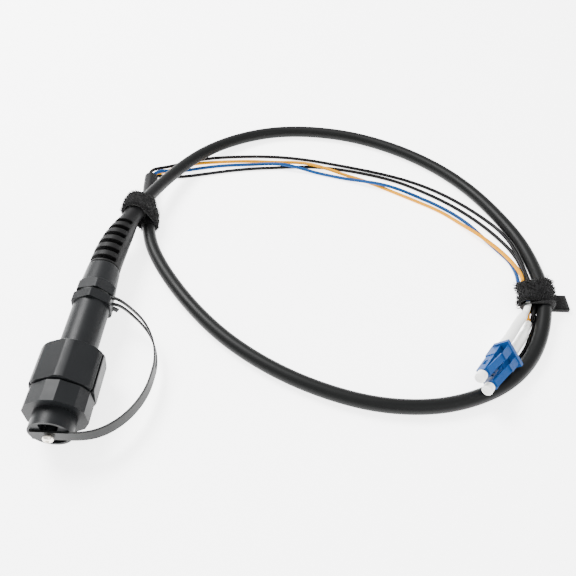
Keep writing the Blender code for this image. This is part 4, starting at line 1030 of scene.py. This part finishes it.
# %% Connector caps
def connector_cap_shape(side):
    return round_along([
        (0.0014, -0.0034), (0.0016, -0.0035), (0.0018, -0.0039), (0.0024, -0.0039),
        (0.0024, -0.0003), (0.0015, -0.0003), (0.0015, 0.0058), (0.0009, 0.0058),
        (0.0009, -0.0018)], side * LC_SPACING / 2)


for letter, side in DUPLEX_SIDES:
    piece = make_piece(f"connector_cap_{letter}", connector_cap_shape(side), DUPLEX,
                       edge=0.00022)
    finish_piece(piece, white_plastic, f"lc_cap_{letter}_body", "white_plastic",
                 f"lc_cap_{letter}")

# %% Connector boots
LC_BOOT_ROOT, LC_BOOT_TIP = 0.0024, 0.0016
NECK_START, NECK_RUN = 0.66, 0.12       # shares of the boot's length
NECK_GROOVE_PITCH, NECK_GROOVE_WIDTH, NECK_GROOVE_DEPTH = 0.0026, 0.0007, 0.00042
SLIT_POINTS = (16, 25)      # counted back from the tip along the path
SLIT_SIZE, SLIT_OUT = (0.0022, 0.0022, 0.0006), 0.0021


def boot_outline(share, walked):
    """A full sleeve that steps down to a thin neck, with grooves that let the neck bend."""
    full = LC_BOOT_ROOT + (LC_BOOT_TIP - LC_BOOT_ROOT) * 0.25 * share
    neck = LC_BOOT_TIP * (1.12 - 0.18 * share)
    step = min(1.0, max(0.0, (share - NECK_START) / NECK_RUN))
    radius = full + (neck - full) * step * step * (3 - 2 * step)
    grooved = step > 0.9 and walked % NECK_GROOVE_PITCH < NECK_GROOVE_WIDTH
    return radius - (NECK_GROOVE_DEPTH if grooved else 0.0)


def connector_boot_shape(route):
    path = read_route(route, 0.00035)
    length = path_length(path)
    bm = bmesh.new()
    ring = None
    for i, place in enumerate(path):
        share = i / (len(path) - 1)
        ahead = (path[min(i + 1, len(path) - 1)] - path[max(i - 1, 0)]).normalized()
        radius = boot_outline(share, share * length)
        made = bmesh.ops.create_circle(bm, cap_ends=i in (0, len(path) - 1), radius=radius,
                                       segments=32, matrix=aimed(place, ahead))
        edges = list({e for v in made["verts"] for e in v.link_edges})
        if ring:
            bmesh.ops.bridge_loops(bm, edges=ring + edges)
        ring = edges
    bmesh.ops.recalc_face_normals(bm, faces=bm.faces)
    for back in SLIT_POINTS:
        place = path[-back]
        ahead = (path[-back + 1] - place).normalized()
        across = Vector((-ahead.y, ahead.x, 0.0)).normalized()
        up = ahead.cross(across) * -1
        out = (across * 0.8 + up * 0.6).normalized()
        slit = bmesh.new()
        bmesh.ops.create_cube(slit, size=1.0)
        bmesh.ops.scale(slit, vec=SLIT_SIZE, verts=slit.verts)
        bmesh.ops.transform(slit, matrix=aimed(place + out * SLIT_OUT, ahead), verts=slit.verts)
        bm = carve(bm, slit, "DIFFERENCE")
    return bm


boots = {}
for letter, route in (("a", LC_BOOT_A_ROUTE), ("b", LC_BOOT_B_ROUTE)):
    boots[letter] = make_piece(f"connector_boot_{letter}", connector_boot_shape(route),
                               edge=0.00015, angle=40)
    finish_piece(boots[letter], white_plastic, ROOT, "white_plastic", f"lc_boot_{letter}")

# %% [markdown]
# The four ferrules keep their CAD shape, since only their ends could ever be seen.

# %% Ferrules
for name in ("plug_ferrule_a", "plug_ferrule_b", "lc_ferrule_a", "lc_ferrule_b"):
    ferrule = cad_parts[name]
    ferrule.data.materials.clear()
    ferrule.data.materials.append(ceramic)
print("ferrules dressed")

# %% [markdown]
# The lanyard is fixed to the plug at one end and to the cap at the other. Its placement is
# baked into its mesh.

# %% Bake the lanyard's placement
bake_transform(lanyard)

# %% [markdown]
# The photograph was taken on a white table in soft light from the upper left. One broad lamp and
# a bright sky give the same soft shadows below and to the right. The floor also glows, because
# the table is burnt out to white in the photograph.

# %% Floor
def floor_material():
    material, _, shader = new_material("table_top")
    set_inputs(shader, Base_Color=(0.93, 0.93, 0.93, 1.0), Roughness=0.55,
               Specular_IOR_Level=0.2, Emission_Color=(1.0, 1.0, 1.0, 1.0),
               Emission_Strength=3.5)
    return material


floor_bm = bmesh.new()
bmesh.ops.create_grid(floor_bm, x_segments=2, y_segments=2, size=2.5)
floor = make_piece("table_top", floor_bm, Matrix.Translation((0.0, 0.6, -0.00005)))
floor.data.materials.append(floor_material())

# %% Light
def area_lamp(name, place, size, power):
    """A round lamp that shines at the middle of the table."""
    data = bpy.data.lights.new(name, "AREA")
    data.shape = "DISK"
    data.size = size
    data.energy = power
    lamp = add_object(name, data)
    lamp.location = place
    lamp.rotation_euler = (-Vector(place)).to_track_quat("-Z", "Y").to_euler()


area_lamp("key_lamp", (-0.55, 0.45, 0.85), size=0.55, power=33.0)
area_lamp("fill_lamp", (0.5, -0.7, 0.8), size=0.9, power=5.0)
world = bpy.data.worlds.new("bright_room")
world.use_nodes = True
set_inputs(world.node_tree.nodes["Background"], Color=(1.0, 1.0, 1.0, 1.0), Strength=1.5)
bpy.context.scene.world = world
print("lights ready")
